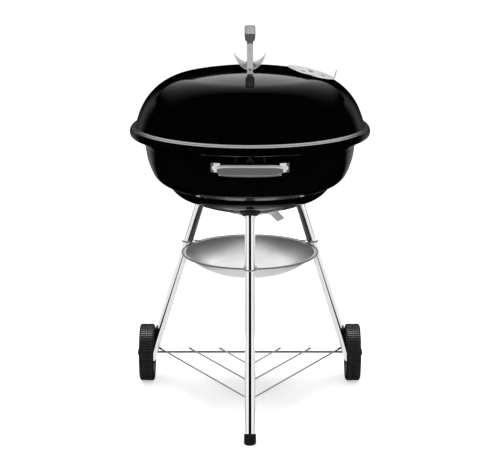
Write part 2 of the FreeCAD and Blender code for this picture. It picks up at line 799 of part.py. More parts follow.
node(cut("lid_grip", grip_blank, strap_slot, *grip_screw_holes), "lid_handle_grip")


def screw(name, shank_radius, head_radius, head_height, shank_length, x, y, z, rotation=None):
    """A round-headed screw: the head starts at the given point and the shank runs up from it."""
    rotation = rotation or Rotation()
    base = Vector(number(x), number(y), number(z))
    head = cylinder(f"{name}_head", head_radius, head_height, base, rotation)
    lift = rotation.multVec(Vector(0, 0, number(head_height)))
    shank = cylinder(f"{name}_shank", shank_radius, shank_length, base + lift, rotation)
    return fused(name, [head, shank])


node(
    grouped(
        "grip_screws",
        [
            screw(
                f"grip_screw_{side + 1}",
                bolt_radius - 1,
                bolt_head_radius - 1,
                bolt_head_height - 1,
                strap_wall + 7,
                0,
                side * grip_screw_place,
                grip_slot_top - strap_wall - bolt_head_height + 1,
            )
            for side in (-1, 1)
        ],
    ),
    "lid_handle_screws",
)
DOWN = Rotation(Vector(1, 0, 0), 180)
lid_bolts = []
for side in (-1, 1):
    bolt_y = side * foot_middle
    top = foot_base + strap_wall + bolt_head_height
    bolt = screw(
        f"lid_bolt_{side + 1}", bolt_radius, bolt_head_radius, bolt_head_height, 14, 0, bolt_y, top, DOWN
    )
    nut = cylinder(
        f"lid_nut_{side + 1}", bolt_head_radius, 4, (0, bolt_y, lid_surface(foot_middle) - sheet_wall - 5)
    )
    lid_bolts.append(fused(f"lid_fastening_{side + 1}", [bolt, nut]))
node(grouped("lid_bolts", lid_bolts), "lid_handle_bolts")

shield_axis = lid_top + shield_rise + shield_radius
shield_outer = cylinder(
    "shield_outer",
    shield_radius,
    2 * shield_half_length,
    (0, shield_half_length, shield_axis),
    Rotation(Vector(1, 0, 0), 90),
)
shield_inner = cylinder(
    "shield_inner",
    shield_radius - shield_wall,
    2 * shield_half_length,
    (0, shield_half_length, shield_axis),
    Rotation(Vector(1, 0, 0), 90),
)
shield_plan = doc.addObject("Part::Ellipse", "shield_plan")
bind(shield_plan, "MajorRadius", shield_half_length)
bind(shield_plan, "MinorRadius", shield_half_width)
shield_plan.Placement = Placement(Vector(0, 0, lid_top.value), Rotation(Vector(0, 0, 1), 90))
shield_column = doc.addObject("Part::Extrusion", "shield_column")
shield_column.Base = shield_plan
shield_column.Dir = Vector(0, 0, 1)
shield_column.LengthFwd = number(shield_radius)
bind(shield_column, "LengthFwd", shield_radius)
shield_column.Solid = True
shield_blank = doc.addObject("Part::Common", "shield_blank")
shield_blank.Base = cut("shield", shield_outer, shield_inner)
shield_blank.Tool = shield_column
node(shield_blank, "lid_handle_heat_shield")

# ---------------------------------------------------------------- bowl handle

bracket_front = handle_reach - handle_grip_depth + 5
bracket_half = bracket_half_span - bracket_foot
wall_radius = kettle_radius - wall_inset


def wall_front(x, stand=0):
    """Where the bowl's wall, or a face that stands in front of it, lies at a place seen from the front."""
    reach = wall_radius + stand
    return -root(reach * reach - x * x)


bracket_blank = padded(
    "bracket_blank",
    "XY_Plane",
    [
        (-bracket_half, -bracket_front),
        (bracket_half, -bracket_front),
        (bracket_half, wall_front(bracket_half, strap_wall + joint_gap)),
        (bracket_half_span, wall_front(bracket_half_span, strap_wall + joint_gap)),
        (bracket_half_span, wall_front(bracket_half_span, -bracket_depth)),
        (bracket_half - strap_wall, wall_front(bracket_half - strap_wall, -bracket_depth)),
        (bracket_half - strap_wall, -(bracket_front - strap_wall)),
        (-(bracket_half - strap_wall), -(bracket_front - strap_wall)),
        (-(bracket_half - strap_wall), wall_front(bracket_half - strap_wall, -bracket_depth)),
        (-bracket_half_span, wall_front(bracket_half_span, -bracket_depth)),
        (-bracket_half_span, wall_front(bracket_half_span, strap_wall + joint_gap)),
        (-bracket_half, wall_front(bracket_half, strap_wall + joint_gap)),
    ],
    bracket_width,
)
bracket_blank.Placement = Placement(Vector(0, 0, handle_height.value), Rotation())

grip_half = handle_grip_length / 2
front_y = -1 * handle_reach
back_y = -1 * (handle_reach - handle_grip_depth)
bowl_grip = padded(
    "bowl_grip",
    "XY_Plane",
    [
        (-1 * grip_half, back_y),
        (grip_half, back_y),
        (grip_half, front_y + 6),
        (grip_half - 8, front_y),
        (-1 * grip_half + 8, front_y),
        (-1 * grip_half, front_y + 6),
    ],
    handle_grip_height,
)
bowl_grip.Placement = Placement(Vector(0, 0, handle_height.value), Rotation())
grip_channel = doc.addObject("Part::Box", "grip_channel")
bind(grip_channel, "Length", 2 * bracket_half + 2 * bolt_gap)
bind(grip_channel, "Width", handle_grip_depth)
bind(grip_channel, "Height", bracket_width + 2 * bolt_gap)
grip_channel.Placement = Placement(
    Vector(
        -number(bracket_half + bolt_gap),
        -number(bracket_front + bolt_gap),
        number(handle_height - bracket_width / 2 - bolt_gap),
    ),
    Rotation(),
)
grip_pilots = [
    cylinder(
        f"grip_pilot_{side + 1}",
        bolt_radius - 1,
        10,
        (side * handle_screw_place, -bracket_front + 1, handle_height),
        Rotation(Vector(1, 0, 0), 90),
    )
    for side in (-1, 1)
]
node(cut("bowl_grip", bowl_grip, grip_channel, *grip_pilots), "bowl_handle_grip")


foot_x = bracket_half_span - bracket_foot / 2
foot_turn = math.degrees(math.asin(foot_x.value / wall_radius.value))


def through_foot(name, side, radius, length, start):
    """A cylinder square to the bowl's wall at a bracket foot, from a distance to the kettle's axis inward."""
    way = Rotation(Vector(0, 0, 1), side * foot_turn) * Rotation(Vector(1, 0, 0), -90)
    base = way.multVec(Vector(0, 0, -number(start))) + Vector(0, 0, number(handle_height))
    return cylinder(name, radius, length, base, way)


foot_holes = [
    through_foot(f"foot_hole_{side + 1}", side, bolt_radius + bolt_gap, 30, wall_radius + 15)
    for side in (-1, 1)
]
bracket_screw_holes = [
    cylinder(
        f"bracket_screw_hole_{side + 1}",
        bolt_radius - 1 + bolt_gap,
        12,
        (side * handle_screw_place, -(bracket_front - strap_wall) + 5, handle_height),
        Rotation(Vector(1, 0, 0), 90),
    )
    for side in (-1, 1)
]
node(
    cut("bowl_bracket", bracket_blank, bowl_envelope("bracket_trim"), *foot_holes, *bracket_screw_holes),
    "bowl_handle_bracket",
)
handle_fastenings = [
    screw(
        f"handle_screw_{side + 1}",
        bolt_radius - 1,
        bolt_head_radius - 1,
        bolt_head_height - 1,
        strap_wall + 5,
        side * handle_screw_place,
        -(bracket_front - strap_wall - bolt_head_height + 1),
        handle_height,
        Rotation(Vector(1, 0, 0), 90),
    )
    for side in (-1, 1)
]
for side in (-1, 1):
    head_start = wall_radius + strap_wall + 2 * joint_gap + bolt_head_height
    nut_start = wall_radius - sheet_wall - nut_gap
    pieces = [
        through_foot(f"foot_bolt_head_{side + 1}", side, bolt_head_radius, bolt_head_height, head_start),
        through_foot(f"foot_bolt_{side + 1}", side, bolt_radius, 16, head_start - 1),
        through_foot(f"foot_nut_{side + 1}", side, bolt_head_radius, 4, nut_start),
    ]
    handle_fastenings.append(fused(f"foot_fastening_{side + 1}", pieces))
node(grouped("handle_fastenings", handle_fastenings), "bowl_handle_bolts")
node(cut("bowl", bowl_shell, *bowl_vents, bowl_rivet_hole, *foot_holes), "bowl")

# ---------------------------------------------------------------- grates


def grate(name, ring_reach, height, ring_radius, wire_radius, pitch, cross_end):
    """A round grate: a ring, parallel rods in its plane, and two cross rods welded under them."""
    ring = doc.addObject("Part::Torus", f"{name}_ring")
    bind(ring, "Radius1", ring_reach)
    bind(ring, "Radius2", ring_radius)
    ring.Placement = Placement(Vector(0, 0, number(height)), Rotation())
    pieces = [ring]
    half_count = int((ring_reach.value - 2 * ring_radius.value) / pitch.value)
    for i in range(-half_count, half_count + 1):
        x = i * pitch
        half = root(ring_reach * ring_reach - x * x)
        start = (x, -half, height)
        lengthwise = Rotation(Vector(1, 0, 0), -90)
        pieces.append(cylinder(f"{name}_rod_{i + half_count}", wire_radius, 2 * half, start, lengthwise))
    for side in (-1, 1):
        y = side * ring_reach * 0.55
        half = root(ring_reach * ring_reach - y * y) - cross_end
        start = (-half, y, height - 2 * wire_radius + 1)
        crosswise = Rotation(Vector(0, 1, 0), 90)
        pieces.append(cylinder(f"{name}_cross_{side + 1}", wire_radius, 2 * half, start, crosswise))
    return fused(name, pieces)


flare_length = across(flare_width, flare_height)
grate_stand = (sheet_wall + seat_gap + grate_ring_radius) / flare_length
grate_reach = kettle_radius - flare_inset + flare_width / 2 - grate_stand * flare_height
grate_height = bowl_base_height + flare_rise + flare_height / 2 + grate_stand * flare_width
node(
    grate(
        "cooking_grate",
        grate_reach,
        grate_height,
        grate_ring_radius,
        grate_wire_radius,
        grate_pitch,
        grate_cross_end,
    ),
    "cooking_grate",
)

ledge_length = across(ledge_width, ledge_step)
coal_stand = (sheet_wall + seat_gap + coal_ring_radius) / ledge_length
coal_reach = kettle_radius - ledge_inset + ledge_width / 2 - coal_stand * ledge_step
coal_height = bowl_base_height + ledge_rise + ledge_step / 2 + coal_stand * ledge_width
node(
    grate(
        "charcoal_grate",
        coal_reach,
        coal_height,
        coal_ring_radius,
        coal_wire_radius,
        coal_pitch,
        coal_cross_end,
    ),
    "charcoal_grate",
)

# ---------------------------------------------------------------- legs

AZIMUTHS = {"front": -90, "left": 150, "right": 30}
bore_radius = leg_radius - leg_wall
rear_leg_end = axle_height - rear_leg_drop
leg_low = {
    "front": -(leg_top_height - sole_depth) / cosine(leg_splay),
    "left": -(leg_top_height - rear_leg_end) / cosine(leg_splay),
    "right": -(leg_top_height - rear_leg_end) / cosine(leg_splay),
}
leg_high = -(socket_depth + joint_gap)
axle_end = hub_outer_x + side_gap + axle_cap_height / 2


def along_x(name, radius, start, end, y, z):
    return cylinder(name, radius, end - start, (start, y, z), Rotation(Vector(0, 1, 0), 90))


for leg_name, azimuth in AZIMUTHS.items():
    top = Vector(*[number(item) for item in leg_point(azimuth, leg_top_height)])
    stand = Placement(top, along_leg(azimuth))
    socket = turned(
        f"socket_{leg_name}",
        [
            (0, 2 * sheet_wall + 4),
            (socket_radius, 2 * sheet_wall + 4),
            (socket_radius, -1),
            (socket_foot_radius, -socket_depth),
            (bore_radius - turning_gap, -socket_depth),
            (bore_radius - turning_gap, -(socket_depth + spigot_length)),
            (0, -(socket_depth + spigot_length)),
        ],
    )
    socket.Placement = stand
    trimmed = cut(f"socket_{leg_name}", socket, bowl_envelope(f"socket_trim_{leg_name}"))
    node(trimmed, f"leg_socket_{leg_name}")
    tube = turned(
        f"tube_{leg_name}",
        [
            (bore_radius, leg_low[leg_name]),
            (leg_radius, leg_low[leg_name]),
            (leg_radius, leg_high),
            (bore_radius, leg_high),
        ],
    )
    tube.Placement = stand
    if leg_name != "front":
        low_x = -axle_end if leg_name == "left" else as_size(0)
        high_x = low_x + axle_end
        drill = along_x(f"leg_drill_{leg_name}", axle_radius + joint_gap, low_x, high_x, axle_y, axle_height)
        tube = cut(f"tube_{leg_name}", tube, drill)
    node(tube, f"leg_{leg_name}")
    collar = turned(
        f"collar_{leg_name}",
        [
            (leg_radius + turning_gap, leg_high - collar_height),
            (collar_radius, leg_high - collar_height),
            (collar_radius, leg_high),
            (leg_radius + turning_gap, leg_high),
        ],
    )
    collar.Placement = stand
    node(collar, f"leg_collar_{leg_name}")

cap_height = foot_cap_height / cosine(leg_splay)
foot_blank = turned(
    "foot_blank",
    [
        (0, -foot_cap_radius),
        (foot_cap_radius, -foot_cap_radius),
        (foot_cap_radius, cap_height),
        (leg_radius + turning_gap, cap_height),
        (leg_radius + turning_gap, sole_depth / cosine(leg_splay)),
        (0, sole_depth / cosine(leg_splay)),
    ],
)
foot_blank.Placement = Placement(Vector(*[number(item) for item in leg_point(-90, 0)]), along_leg(-90))
floor_block = doc.addObject("Part::Box", "floor_block")
bind(floor_block, "Length", 6 * foot_cap_radius)
bind(floor_block, "Width", 6 * foot_cap_radius)
bind(floor_block, "Height", 3 * foot_cap_radius)
floor_block.Placement = Placement(
    Vector(
        -number(3 * foot_cap_radius),
        -number(leg_reach(as_size(0)) + 3 * foot_cap_radius),
        -number(3 * foot_cap_radius),
    ),
    Rotation(),
)
foot_sole = cut("foot_cap", foot_blank, floor_block)
doc.recompute()
sole_edges = [i + 1 for i, edge in enumerate(foot_sole.Shape.Edges) if edge.BoundBox.ZMax < 0.01]
foot_cap = doc.addObject("Part::Fillet", "foot_cap_round")
foot_cap.Base = foot_sole
foot_cap.Edges = [(i, sole_round.value, sole_round.value) for i in sole_edges]
node(foot_cap, "foot_cap")

# ---------------------------------------------------------------- axle and wheels

node(along_x("axle_rod", axle_radius, -axle_end, axle_end, axle_y, axle_height), "axle")

hub_low = hub_inner_x - wheel_inner_x
web_high = wheel_width - web_inset
rim_radius = wheel_radius - wheel_wall
bore = axle_radius + turning_gap
for name, side in (("left", -1), ("right", 1)):
    outward = Rotation(Vector(0, 1, 0), side * 90)
    wheel = turned(
        f"wheel_{name}",
        [
            (bore, hub_low),
            (hub_radius, hub_low),
            (hub_radius, web_high - web_wall),
            (rim_radius, web_high - web_wall),
            (rim_radius, 0),
            (wheel_radius - tread_round, 0, tread_round, -1),
            (wheel_radius, tread_round),
            (wheel_radius, wheel_width - tread_round, tread_round, -1),
            (wheel_radius - tread_round, wheel_width),
            (rim_radius, wheel_width),
            (rim_radius, web_high),
            (hub_radius, web_high),
            (hub_radius, wheel_width + hub_stand),
            (bore, wheel_width + hub_stand),
        ],
    )
    node(wheel, f"wheel_{name}", side * wheel_inner_x, axle_y, axle_height, outward)
    cap = turned(
        f"cap_{name}",
        [
            (bore, 0),
            (axle_cap_radius, 0),
            (axle_cap_radius, axle_cap_height - 2, 2, -1),
            (axle_cap_radius - 2, axle_cap_height),
            (0, axle_cap_height),
            (0, axle_cap_height / 2 + joint_gap),
            (bore, axle_cap_height / 2 + joint_gap),
        ],
    )
    node(cap, f"axle_cap_{name}", side * (hub_outer_x + side_gap), axle_y, axle_height, outward)

# ---------------------------------------------------------------- wire rack

rack_back = axle_height + axle_radius + rack_wire_radius + joint_gap
rack_front = leg_reach(rack_front_height) - leg_radius / cosine(leg_splay) - rack_wire_radius - joint_gap
rack_length = across(axle_y + rack_front, rack_front_height - rack_back)
rack_tilt = math.degrees(math.atan2((rack_front_height - rack_back).value, (axle_y + rack_front).value))
rack_plane = Placement(
    Vector(0, axle_y.value, rack_back.value), Rotation(Vector(1, 0, 0), -rack_tilt)
)


def in_rack(x, v, z=0):
    return rack_plane.multVec(Vector(number(x), number(v), number(z)))


rack_pieces = []
for k in range(3):
    half = rack_outer_half - k * rack_pitch
    apex = -rack_length + k * rack_spacing + rack_bend
    run = rack_overhang - apex
    reach = half * half + run * run
    straight = root(reach - rack_bend * rack_bend)
    turn_x = rack_bend * (run * straight + half * rack_bend) / reach
    turn_v = apex - rack_bend * (half * straight - run * rack_bend) / reach
    path = doc.addObject("Sketcher::SketchObject", f"rack_path_{k}")
    path.Placement = rack_plane
    draw(
        path,
        [(-half, rack_overhang), (-turn_x, turn_v, rack_bend, -1), (turn_x, turn_v), (half, rack_overhang)],
        closed=False,
    )
    start = in_rack(-half, rack_overhang)
    ring = doc.addObject("Part::Circle", f"rack_section_{k}")
    bind(ring, "Radius", rack_wire_radius)
    ring.Placement = Placement(start, Rotation(Vector(0, 0, 1), in_rack(-turn_x, turn_v) - start))
    sweep = doc.addObject("Part::Sweep", f"rack_wire_{k}")
    sweep.Sections = [ring]
    sweep.Spine = (path, ["Edge1", "Edge2", "Edge3"])
    sweep.Solid = True
    sweep.Frenet = True
    rack_pieces.append(sweep)
    for side in (-1, 1):
        end = in_rack(side * half, rack_overhang)
        heel = in_rack(side * turn_x, turn_v)
        back = (heel - end).normalize() * rack_tip.value
        rack_pieces.append(bar(f"rack_tip_{k}_{side + 1}", end, end + back, rack_tip_radius))
rack_pieces.append(bar("rack_spine", in_rack(0, rack_overhang), in_rack(0, -rack_length), rack_wire_radius))
node(fused("rack", rack_pieces), "wire_rack")

# ---------------------------------------------------------------- ash catcher

ash_edge = ash_radius - ash_bead_radius
ash_shell = skin(
    "ash",
    [
        (0, ash_height - ash_depth),
        (ash_floor_radius, ash_height - ash_depth, ash_curve, -1),
        (ash_radius - ash_rim_width, ash_height),
        (ash_edge, ash_height),
    ],
    ash_wall,
)
ash_bead = doc.addObject("Part::Torus", "ash_bead")
bind(ash_bead, "Radius1", ash_edge)
bind(ash_bead, "Radius2", ash_bead_radius)
ash_bead.Placement = Placement(Vector(0, 0, number(ash_height + ash_wall / 2)), Rotation())
node(fused("ash_catcher", [ash_shell, ash_bead]), "ash_catcher")

clip_height = ash_height + ash_wall / 2 + ash_bead_radius + clip_wire_radius + joint_gap
clip_half = leg_radius + clip_gap + clip_wire_radius
clip_turn = leg_reach(clip_height) + leg_radius / cosine(leg_splay) - leg_radius + clip_gap
for leg_name, azimuth in AZIMUTHS.items():
    plane = Placement(Vector(0, 0, clip_height.value), Rotation(Vector(0, 0, 1), azimuth))
    path = doc.addObject("Sketcher::SketchObject", f"clip_path_{leg_name}")
    path.Placement = plane
    draw(
        path,
        [
            (ash_edge - clip_reach, -clip_half),
            (clip_turn, -clip_half, clip_half, -1),
            (clip_turn + clip_half, 0, clip_half, -1),
            (clip_turn, clip_half),
            (ash_edge - clip_reach, clip_half),
        ],
        closed=False,
    )
    ring = doc.addObject("Part::Circle", f"clip_section_{leg_name}")
    bind(ring, "Radius", clip_wire_radius)
    start = plane.multVec(Vector(number(ash_edge - clip_reach), -number(clip_half), 0))
    ring.Placement = Placement(start, Rotation(Vector(0, 0, 1), plane.Rotation.multVec(Vector(1, 0, 0))))
    clip = doc.addObject("Part::Sweep", f"clip_{leg_name}")
    clip.Sections = [ring]
    clip.Spine = (path, ["Edge1", "Edge2", "Edge3", "Edge4"])
    clip.Solid = True
    clip.Frenet = True
    node(grouped(f"clip_{leg_name}", [clip]), f"ash_catcher_clip_{leg_name}")

# ---------------------------------------------------------------- checks and export

doc.recompute()
for item in doc.Objects:
    if "Invalid" in item.State or "Error" in item.State:
        raise RuntimeError(f"{item.Label} did not build: {item.State}")
os.makedirs("parts", exist_ok=True)
for item in nodes:
    if item.Shape.isNull() or not item.Shape.isValid():
        raise RuntimeError(f"{item.Label} has no valid shape")
    item.Shape.exportStep(os.path.join("parts", f"{item.Label}.step"))
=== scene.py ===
import math

import bmesh
import bpy
from bpy.props import FloatProperty, FloatVectorProperty, IntProperty, PointerProperty
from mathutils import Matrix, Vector


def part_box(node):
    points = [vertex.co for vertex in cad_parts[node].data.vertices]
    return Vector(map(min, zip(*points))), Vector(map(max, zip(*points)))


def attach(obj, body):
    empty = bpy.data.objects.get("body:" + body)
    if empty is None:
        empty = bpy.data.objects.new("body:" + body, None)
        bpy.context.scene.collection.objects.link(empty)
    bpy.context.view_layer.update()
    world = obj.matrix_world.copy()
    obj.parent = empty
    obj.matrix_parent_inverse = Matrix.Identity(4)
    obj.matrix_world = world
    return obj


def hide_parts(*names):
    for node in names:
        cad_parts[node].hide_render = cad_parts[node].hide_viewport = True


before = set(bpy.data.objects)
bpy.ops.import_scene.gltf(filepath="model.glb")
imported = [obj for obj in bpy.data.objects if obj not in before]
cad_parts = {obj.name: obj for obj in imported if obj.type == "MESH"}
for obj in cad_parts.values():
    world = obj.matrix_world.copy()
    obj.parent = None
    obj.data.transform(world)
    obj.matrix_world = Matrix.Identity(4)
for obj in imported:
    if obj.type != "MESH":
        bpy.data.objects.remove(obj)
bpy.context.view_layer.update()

bl_info = {
    "name": "Kettle grill finishes",
    "version": (1, 0, 0),
    "blender": (4, 5, 0),
    "location": "View3D > Sidebar > Kettle",
    "description": "Finishes, wheels, grips and studio for the kettle charcoal grill",
    "category": "Object",
}

KETTLE = (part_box("bowl")[0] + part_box("bowl")[1]) / 2

# ---------------------------------------------------------------- shader building


class Channel:
    """One number, colour or vector that a shader node gives, with arithmetic."""

    def __init__(self, finish, socket):
        self.finish = finish
        self.socket = socket

    def maths(self, operation, *others):
        values = dict(enumerate((self,) + others))
        return self.finish.node("ShaderNodeMath", {"operation": operation}, values, 0)

    def __add__(self, other):
        return self.maths("ADD", other)

    __radd__ = __add__

    def __mul__(self, other):
        return self.maths("MULTIPLY", other)

    __rmul__ = __mul__

    def __sub__(self, other):
        return self.maths("SUBTRACT", other)

    def __rsub__(self, other):
        return self.finish.node("ShaderNodeMath", {"operation": "SUBTRACT"}, {0: other, 1: self}, 0)

    def __truediv__(self, other):
        return self.maths("DIVIDE", other)

    def __pow__(self, other):
        return self.maths("POWER", other)

    def __abs__(self):
        return self.maths("ABSOLUTE")

    def within(self, low, high):
        """0 below low, 1 above high, and a smooth change between."""
        settings = {"interpolation_type": "SMOOTHSTEP", "clamp": True}
        inputs = {"Value": self, "From Min": low, "From Max": high}
        return self.finish.node("ShaderNodeMapRange", settings, inputs, "Result")

    def between(self, low, high):
        """The 0 to 1 channel spread from low to high."""
        return self * (high - low) + low


class Finish:
    """A material built around one Principled shader."""

    def __init__(self, name, colour, **constants):
        self.material = bpy.data.materials.new(name)
        self.material.use_nodes = True
        self.tree = self.material.node_tree
        self.tree.nodes.clear()
        self.shader = self.tree.nodes.new("ShaderNodeBsdfPrincipled")
        output = self.tree.nodes.new("ShaderNodeOutputMaterial")
        self.tree.links.new(self.shader.outputs["BSDF"], output.inputs["Surface"])
        self.colour = tuple(colour)
        self.material.diffuse_color = (*self.colour, 1)
        self.shader.inputs["Base Color"].default_value = (*self.colour, 1)
        for key, value in constants.items():
            self.shader.inputs[key.replace("_", " ").title().replace("Ior", "IOR")].default_value = value

    def fill(self, socket, value):
        """Link a channel to a socket, or set the socket's own value."""
        if isinstance(value, Channel):
            self.tree.links.new(value.socket, socket)
        elif isinstance(value, (tuple, list)) and len(value) == 3 and socket.type == "RGBA":
            socket.default_value = (*value, 1)
        else:
            socket.default_value = value

    def node(self, kind, settings, inputs, output):
        """Add one node: its settings first, then its inputs. Sockets go by name or by number."""
        item = self.tree.nodes.new(kind)
        for key, value in settings.items():
            setattr(item, key, value)
        for key, value in inputs.items():
            self.fill(item.inputs[key], value)
        return Channel(self, item.outputs[output])

    def place(self):
        """The point on the piece, in metres, in the piece's own frame."""
        return self.node("ShaderNodeTexCoord", {}, {}, "Object")

    def stretched(self, scale, centre=(0, 0, 0)):
        """The point, counted from a centre and stretched by a scale on each axis."""
        kind = "ShaderNodeVectorMath"
        moved = self.node(kind, {"operation": "SUBTRACT"}, {0: self.place(), 1: centre}, 0)
        return self.node(kind, {"operation": "MULTIPLY"}, {0: moved, 1: scale}, 0)

    def axes(self, vector):
        """The three parts of a vector, as a list of channels."""
        return [self.node("ShaderNodeSeparateXYZ", {}, {"Vector": vector}, axis) for axis in "XYZ"]

    def noise(self, vector, scale, detail=2.0, roughness=0.5):
        inputs = {"Vector": vector, "Scale": scale, "Detail": detail, "Roughness": roughness}
        return self.node("ShaderNodeTexNoise", {}, inputs, "Fac")

    def speckle(self, vector, scale):
        settings = {"feature": "F1"}
        return self.node("ShaderNodeTexVoronoi", settings, {"Vector": vector, "Scale": scale}, "Distance")

    def reach(self, centre, axis="Z"):
        """Distance from a line through a centre, along one axis."""
        x, y, z = self.axes(self.stretched((1, 1, 1), centre))
        one, other = {"X": (y, z), "Y": (x, z), "Z": (x, y)}[axis]
        return (one * one + other * other) ** 0.5

    def lines(self, distance, pitch):
        """Fine turned or brushed lines across a distance."""
        vector = self.node("ShaderNodeCombineXYZ", {}, {"X": distance * (1 / pitch)}, "Vector")
        return self.noise(vector, 1.0, 3.0, 0.6)

    def tinted(self, mask, other):
        """The finish's colour, changed to another colour where the mask is 1."""
        factor, first, second, mixed = 0, 6, 7, 2
        settings = {"data_type": "RGBA", "blend_type": "MIX"}
        inputs = {factor: mask, first: self.colour, second: other}
        return self.node("ShaderNodeMix", settings, inputs, mixed)

    def use(self, **channels):
        """Put channels into the shader's sockets of the same names."""
        for key, value in channels.items():
            self.fill(self.shader.inputs[key.replace("_", " ").title()], value)
        return self

    def bump(self, height, depth, strength=1.0):
        """Fine relief: a height channel, in steps of a depth in metres."""
        inputs = {"Height": height, "Distance": depth, "Strength": strength}
        normal = self.node("ShaderNodeBump", {}, inputs, "Normal")
        self.fill(self.shader.inputs["Normal"], normal)
        return self


def dress(finish, *nodes):
    """Give the finish to whole frame nodes."""
    for node in nodes:
        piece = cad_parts[node]
        for slot in piece.material_slots:
            slot.material = finish.material
        if not piece.material_slots:
            piece.data.materials.append(finish.material)


# ---------------------------------------------------------------- mesh building


def piece_from(name, bm, location, finish, slot, body, *nodes, smooth=40):
    """Turn a bmesh into a piece that stands for frame nodes and moves with their body."""
    mesh = bpy.data.meshes.new(name)
    bmesh.ops.recalc_face_normals(bm, faces=bm.faces)
    bm.to_mesh(mesh)
    bm.free()
    mesh.materials.append(finish.material)
    piece = bpy.data.objects.new(name, mesh)
    bpy.context.scene.collection.objects.link(piece)
    piece.location = location
    mesh.shade_smooth()
    mesh.set_sharp_from_angle(angle=math.radians(smooth))
    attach(piece, body)
    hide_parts(*nodes)
    return piece


def turned_rings(bm, profile, steps):
    """Rings of a closed profile about X.

    Each corner is (x, radius) or (x, radius at a rib, radius in a groove).
    """
    rings = []
    for angle, groove in steps:
        ring = []
        for x, *radii in profile:
            radius = radii[-1] if groove else radii[0]
            ring.append(bm.verts.new((x, radius * math.cos(angle), radius * math.sin(angle))))
        rings.append(ring)
    for i, ring in enumerate(rings):
        following = rings[(i + 1) % len(rings)]
        for j in range(len(profile)):
            k = (j + 1) % len(profile)
            bm.faces.new((ring[j], ring[k], following[k], following[j]))


def rounded(corners, radius, steps=3):
    """Round every corner of a closed outline of (u, v) points."""
    result = []
    count = len(corners)
    for i, corner in enumerate(corners):
        here = Vector(corner)
        before = Vector(corners[i - 1]) - here
        after = Vector(corners[(i + 1) % count]) - here
        reach = min(radius, before.length * 0.45, after.length * 0.45)
        start = here + before.normalized() * reach
        end = here + after.normalized() * reach
        for step in range(steps + 1):
            t = step / steps
            point = start.lerp(here, t).lerp(here.lerp(end, t), t)
            result.append((point.x, point.y))
    return result


# ---------------------------------------------------------------- settings


def tint(name, description, default):
    return FloatVectorProperty(
        name=name, description=description, subtype="COLOR", size=3, default=default
    )


def length(name, description, default):
    return FloatProperty(
        name=name, description=description, unit="LENGTH", subtype="DISTANCE", default=default
    )


class KettleColours(bpy.types.PropertyGroup):
    enamel: tint("Enamel", "Colour of the lid and the bowl", (0.0008, 0.0008, 0.00085))
    chrome: tint("Chrome", "Colour of the leg tubes", (0.93, 0.935, 0.94))
    aluminium: tint("Aluminium", "Colour of the dish and dampers", (0.80, 0.80, 0.81))
    steel: tint("Steel", "Colour of the strap, shield and wires", (0.62, 0.62, 0.63))
    grip: tint("Grip", "Colour of the two grips", (0.105, 0.106, 0.108))
    black: tint("Black plastic", "Colour of wheels, sockets and foot", (0.008, 0.008, 0.008))
    inset: tint("Grip panel", "Colour of the panels let into the grips", (0.085, 0.086, 0.088))


class KettleSizes(bpy.types.PropertyGroup):
    rib_count: IntProperty(name="Tread ribs", description="Ribs round each wheel", default=66, min=12)
    groove_depth: length("Groove depth", "Depth of the tread's grooves", 0.0022)
    spoke_count: IntProperty(name="Wheel webs", description="Stiffening webs in each wheel", default=8, min=3)


class KettleStage(bpy.types.PropertyGroup):
    camera_distance: length("Camera distance", "From the kettle's axis", 4.0)
    camera_height: length("Camera height", "Above the floor", 1.4439)
    camera_pitch: FloatProperty(
        name="Camera pitch", description="Downward tilt", unit="ROTATION", subtype="ANGLE", default=0.248
    )
    lens: FloatProperty(name="Lens", description="Focal length in millimetres", default=116.8)
    sky: FloatProperty(name="Sky", description="Strength of the even white light", default=1.07)


# ---------------------------------------------------------------- pieces


def enamel(name, colour):
    """Glossy porcelain enamel: a faint orange peel, pinholes and cloudy gloss."""
    finish = Finish(name, colour, ior=1.5, specular_ior_level=0.5)
    place = finish.place()
    peel = finish.noise(place, 55.0, 2.0, 0.45)
    pits = finish.speckle(place, 900.0).within(0.02, 0.12)
    cloud = finish.noise(place, 9.0, 3.0, 0.5).within(0.35, 0.7)
    gloss = cloud.between(0.05, 0.075) + (1 - pits) * 0.06
    finish.bump(peel * 0.7 + pits * 0.02, 0.0001, 0.3)
    return finish, cloud, gloss


class KETTLE_OT_enamel(bpy.types.Operator):
    """Glossy porcelain enamel for the lid and the bowl, with a painted highlight line on the lid's flange"""

    bl_idname = "kettle.enamel"
    bl_label = "Enamel"

    def execute(self, context):
        colours = context.scene.kettle_colours
        lighter = tuple(item * 2 for item in colours.enamel)
        finish, cloud, gloss = enamel("bowl_enamel", colours.enamel)
        finish.use(roughness=gloss, base_color=finish.tinted(cloud * 0.6, lighter))
        dress(finish, "bowl")
        finish, cloud, gloss = enamel("lid_enamel", colours.enamel)
        # The flange line is a painted highlight: a pale, partly metallic colour that stands in for a
        # reflection.
        painted_band = self.painted_flange_highlight(finish)
        wear = finish.noise(finish.place(), 120.0, 3.0, 0.6)
        finish.use(metallic=painted_band * 0.3, roughness=gloss * (1 - painted_band) + painted_band * wear.between(0.22, 0.36))
        finish.use(base_color=finish.tinted(painted_band, (0.60, 0.60, 0.61)))
        dress(finish, "lid")
        return {"FINISHED"}

    def painted_flange_highlight(self, finish):
        """A painted highlight: a pale line round the lid's flange with a dark gap in it, weaker at the two
        sides.
        """
        low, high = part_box("lid")
        edge = (high.x - low.x) / 2
        outside = (edge - 0.0138, edge - 0.0132)
        line_start, gap_start, gap_end = (0.0203, 0.0208), (0.0226, 0.0229), (0.0233, 0.0236)
        sides = (0.20, 0.275)
        x, _, z = finish.axes(finish.place())
        height = z - low.z
        painted_band = finish.reach(tuple(KETTLE)).within(*outside) * height.within(*line_start)
        painted_band = painted_band * (1 - height.within(*gap_start) * (1 - height.within(*gap_end)))
        return painted_band * (1 - abs(x).within(*sides) * 0.85)


